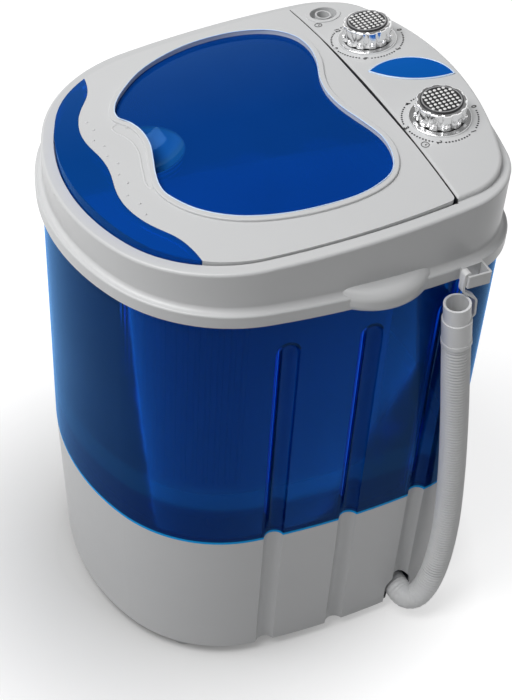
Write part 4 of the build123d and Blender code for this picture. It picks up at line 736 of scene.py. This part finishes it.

# Drain hose: a pale ribbed tube clamped inside the base, out through the notch and up the right
# side, where a cuff with an open mouth ends it. A hook holds it on the frame's loop. The ribs
# fade where the tube bends out of the notch, and higher up the grooves carry painted shade.
hose_points = [
    (0.135, 0.101, 0.028), (0.168, 0.101, 0.028), (0.184, 0.103, 0.026), (0.191, 0.112, 0.030),
    (0.1915, 0.121, 0.042), (0.191, 0.1275, 0.062), (0.191, 0.131, 0.095), (0.191, 0.131, 0.140),
    (0.1905, 0.1278, 0.185), (0.1902, 0.1235, 0.228), (0.190, 0.1185, 0.268), (0.190, 0.113, 0.308),
    (0.190, 0.1076, 0.343), (0.190, 0.1015, 0.386),
]
hose_radius = 12.75 * mm
hose_bore = 9.7 * mm
hose_end_radius = 12 * mm
hose_end_length = 26 * mm
hose_top_length = 1.5 * mm
hose_sides = 40
bore_steps = 60
rib_pitch = 3.6 * mm
rib_depth = 1.35 * mm
rib_shape = ((0, 0), (0.12, 0.5), (0.26, 0.92), (0.4, 1), (0.54, 0.92), (0.68, 0.5), (0.8, 0))
rib_fade_start = 60 * mm
rib_fade_length = 60 * mm
least_rib = 0.2
groove_shade_from = 95 * mm


def route_line(name, control_points):
    """Points along the smooth line that the hose follows."""
    route = bpy.data.curves.new(name, "CURVE")
    route.dimensions = "3D"
    route.resolution_u = 24
    spline = route.splines.new("NURBS")
    spline.points.add(len(control_points) - 1)
    for place, point in enumerate(control_points):
        spline.points[place].co = (*point, 1)
    spline.order_u = 3
    spline.use_endpoint_u = True
    helper = bpy.data.objects.new(name, route)
    mesh = bpy.data.meshes.new_from_object(helper)
    line = [vertex.co.copy() for vertex in mesh.vertices]
    bpy.data.objects.remove(helper)
    bpy.data.meshes.remove(mesh)
    return line


hose_line = route_line("hose_line", hose_points)
hose_marks = [0.0]
for here, there in zip(hose_line, hose_line[1:]):
    hose_marks.append(hose_marks[-1] + (there - here).length)
hose_length = hose_marks[-1]


def on_hose(distance):
    """Centre and direction of the hose at a distance from its clamped end."""
    distance = min(max(distance, 0), hose_length)
    place = 0
    while place < len(hose_marks) - 2 and hose_marks[place + 1] < distance:
        place += 1
    share = (distance - hose_marks[place]) / (hose_marks[place + 1] - hose_marks[place])
    centre = hose_line[place].lerp(hose_line[place + 1], share)
    first, last = max(place - 1, 0), min(place + 2, len(hose_line) - 1)
    return centre, (hose_line[last] - hose_line[first]).normalized()


ribbed_length = hose_length - hose_end_length - hose_top_length
rib_count = round(ribbed_length / rib_pitch)
rib_step = ribbed_length / rib_count
wall_profile = [(0, hose_bore), (0, hose_end_radius), (0.9 * hose_end_length, hose_end_radius)]
shaded_groove_rings = [False] * len(wall_profile)
for rib in range(rib_count):
    start = hose_end_length + rib * rib_step
    groove_shaded = groove_shade_from < start and rib < rib_count - 1
    shaded_groove_rings += [False] * (len(rib_shape) - 1) + [groove_shaded]
    fullness = min(1, max(least_rib, (start - rib_fade_start) / rib_fade_length))
    for share, height in rib_shape:
        ring_radius = hose_radius - rib_depth * fullness * (1 - height)
        wall_profile.append((start + share * rib_step, ring_radius))
wall_profile += [(hose_length - hose_top_length, hose_end_radius), (hose_length, hose_end_radius)]
wall_profile += [(hose_length * (1 - step / bore_steps), hose_bore) for step in range(bore_steps)]
shaded_groove_rings += [False] * (len(wall_profile) - len(shaded_groove_rings))
hose_skin = []
for distance, radius in wall_profile:
    centre, along = on_hose(distance)
    sideways = Vector((1, -1, 0))
    across = (sideways - along * sideways.dot(along)).normalized()
    other = along.cross(across)
    for side in range(hose_sides):
        angle = 2 * pi * side / hose_sides
        hose_skin.append(centre + (across * cos(angle) + other * sin(angle)) * radius)
hose_faces = ring_faces(len(wall_profile), hose_sides, True)
hose_plastic = opaque("hose_plastic", (0.77, 0.775, 0.78), 0.42, grain_scale=700)
# Painted shade: a darker grey on the floor of each groove.
hose_groove_shade = opaque("hose_groove_shade", (0.45, 0.45, 0.455), 0.5, grain_scale=700)
dress(hose_plastic, "hose_cuff", "hose_hook")
ribbed_hose = shaped("ribbed_hose", hose_skin, hose_faces, hose_plastic, "machine", "hose_grey")
ribbed_hose.data.materials.append(hose_groove_shade)
for polygon in ribbed_hose.data.polygons:
    polygon.material_index = 1 if shaded_groove_rings[polygon.index // hose_sides] else 0
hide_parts("drain_hose")

# Studio: a pale floor that shows nearly white, keeps the machine's shadow and has a painted shadow
# in front of the base, a large soft lamp high in front, and an even sky that is a little weaker on
# the hose side. Plated and clear pieces mirror a white sky that is grey overhead.
floor_reach = 8.0
floor_corners = ((-1, -1), (1, -1), (1, 1), (-1, 1))
floor_shown = (0.6, 0.6, 0.6)
floor_grey = (0.45, 0.45, 0.45)
painted_shadow_centre = (0, -0.1, 0)
painted_shadow_start = 0.1
painted_shadow_end = 0.35
floor_glow_range = (0.02, 0.72)
sky_strength = 0.28
weaker_on_hose_side = 0.08
overhead_start = 0.4
overhead_end = 0.6
overhead_grey = (0.22, 0.22, 0.22)
white = (1, 1, 1)
lamp_size = 1.8
lamp_power = 60
lamp_place = (0.0, -1.3, 2.65)
lamp_target = Vector((0, 0, 0.3))


def seen_directly(tree):
    """1 for rays that the camera, a mirror or a clear piece sends, and 0 for others."""
    path = tree.nodes.new("ShaderNodeLightPath").outputs
    mirrored = worked(tree, "MAXIMUM", path["Is Camera Ray"], path["Is Glossy Ray"])
    return worked(tree, "MAXIMUM", mirrored, path["Is Transmission Ray"])


def either_shown(tree, for_light, for_sight, target):
    """Gives the output one shader for rays of plain light and another for what is seen."""
    choice = tree.nodes.new("ShaderNodeMixShader")
    join(tree, seen_directly(tree), choice.inputs["Fac"])
    join(tree, for_light, choice.inputs[1])
    join(tree, for_sight, choice.inputs[2])
    join(tree, choice.outputs["Shader"], target)


floor_mesh = bpy.data.meshes.new("floor")
floor_mesh.from_pydata(
    [(x * floor_reach, y * floor_reach, 0) for x, y in floor_corners], [], [(0, 1, 2, 3)]
)
floor = bpy.data.objects.new("floor", floor_mesh)
scene.collection.objects.link(floor)
floor_paint, tree = blank("floor_paint")
floor_out = tree.nodes.new("ShaderNodeOutputMaterial")
dim_floor = tree.nodes.new("ShaderNodeBsdfDiffuse")
dim_floor.inputs["Color"].default_value = (*floor_grey, 1)
bright_floor = tree.nodes.new("ShaderNodeBsdfDiffuse")
join(tree, clouded(tree, floor_shown, 0.01), bright_floor.inputs["Color"])
floor_glow = tree.nodes.new("ShaderNodeEmission")
floor_glow.inputs["Color"].default_value = (*white, 1)
# Painted shadow: the floor's glow fades towards a spot in front of the base.
from_painted_shadow = vector_worked(tree, "SUBTRACT", own_place(tree), painted_shadow_centre)
away = vector_worked(tree, "LENGTH", from_painted_shadow, result="Value")
brighter = between(tree, away, 0.0, 1.0, painted_shadow_start, painted_shadow_end)
join(tree, between(tree, brighter, *floor_glow_range), floor_glow.inputs["Strength"])
glowing = tree.nodes.new("ShaderNodeAddShader")
join(tree, bright_floor.outputs["BSDF"], glowing.inputs[0])
join(tree, floor_glow.outputs["Emission"], glowing.inputs[1])
either_shown(tree, dim_floor.outputs["BSDF"], glowing.outputs["Shader"], floor_out.inputs["Surface"])
floor_mesh.materials.append(floor_paint)

studio_sky = bpy.data.worlds.new("studio_sky")
scene.world = studio_sky
studio_sky.use_nodes = True
tree = studio_sky.node_tree
tree.nodes.clear()
sky_out = tree.nodes.new("ShaderNodeOutputWorld")
even_sky = tree.nodes.new("ShaderNodeBackground")
even_sky.inputs["Color"].default_value = (*white, 1)
shown_sky = tree.nodes.new("ShaderNodeBackground")
direction = tree.nodes.new("ShaderNodeTexCoord").outputs["Generated"]
sky_x, _, sky_z = along_axes(tree, direction)
weaker = worked(tree, "MULTIPLY", sky_x, -weaker_on_hose_side)
join(tree, worked(tree, "ADD", weaker, sky_strength), even_sky.inputs["Strength"])
overhead = between(tree, sky_z, 0.0, 1.0, overhead_start, overhead_end)
join(tree, colour_mix(tree, overhead, white, overhead_grey), shown_sky.inputs["Color"])
either_shown(
    tree, even_sky.outputs["Background"], shown_sky.outputs["Background"], sky_out.inputs["Surface"]
)

lamp = bpy.data.lights.new("key_lamp", "AREA")
lamp.size = lamp_size
lamp.energy = lamp_power
key_lamp = bpy.data.objects.new("key_lamp", lamp)
scene.collection.objects.link(key_lamp)
key_lamp.location = lamp_place
lamp_aim = lamp_target - key_lamp.location
key_lamp.rotation_euler = lamp_aim.to_track_quat("-Z", "Y").to_euler()

scene.view_settings.view_transform = "Standard"
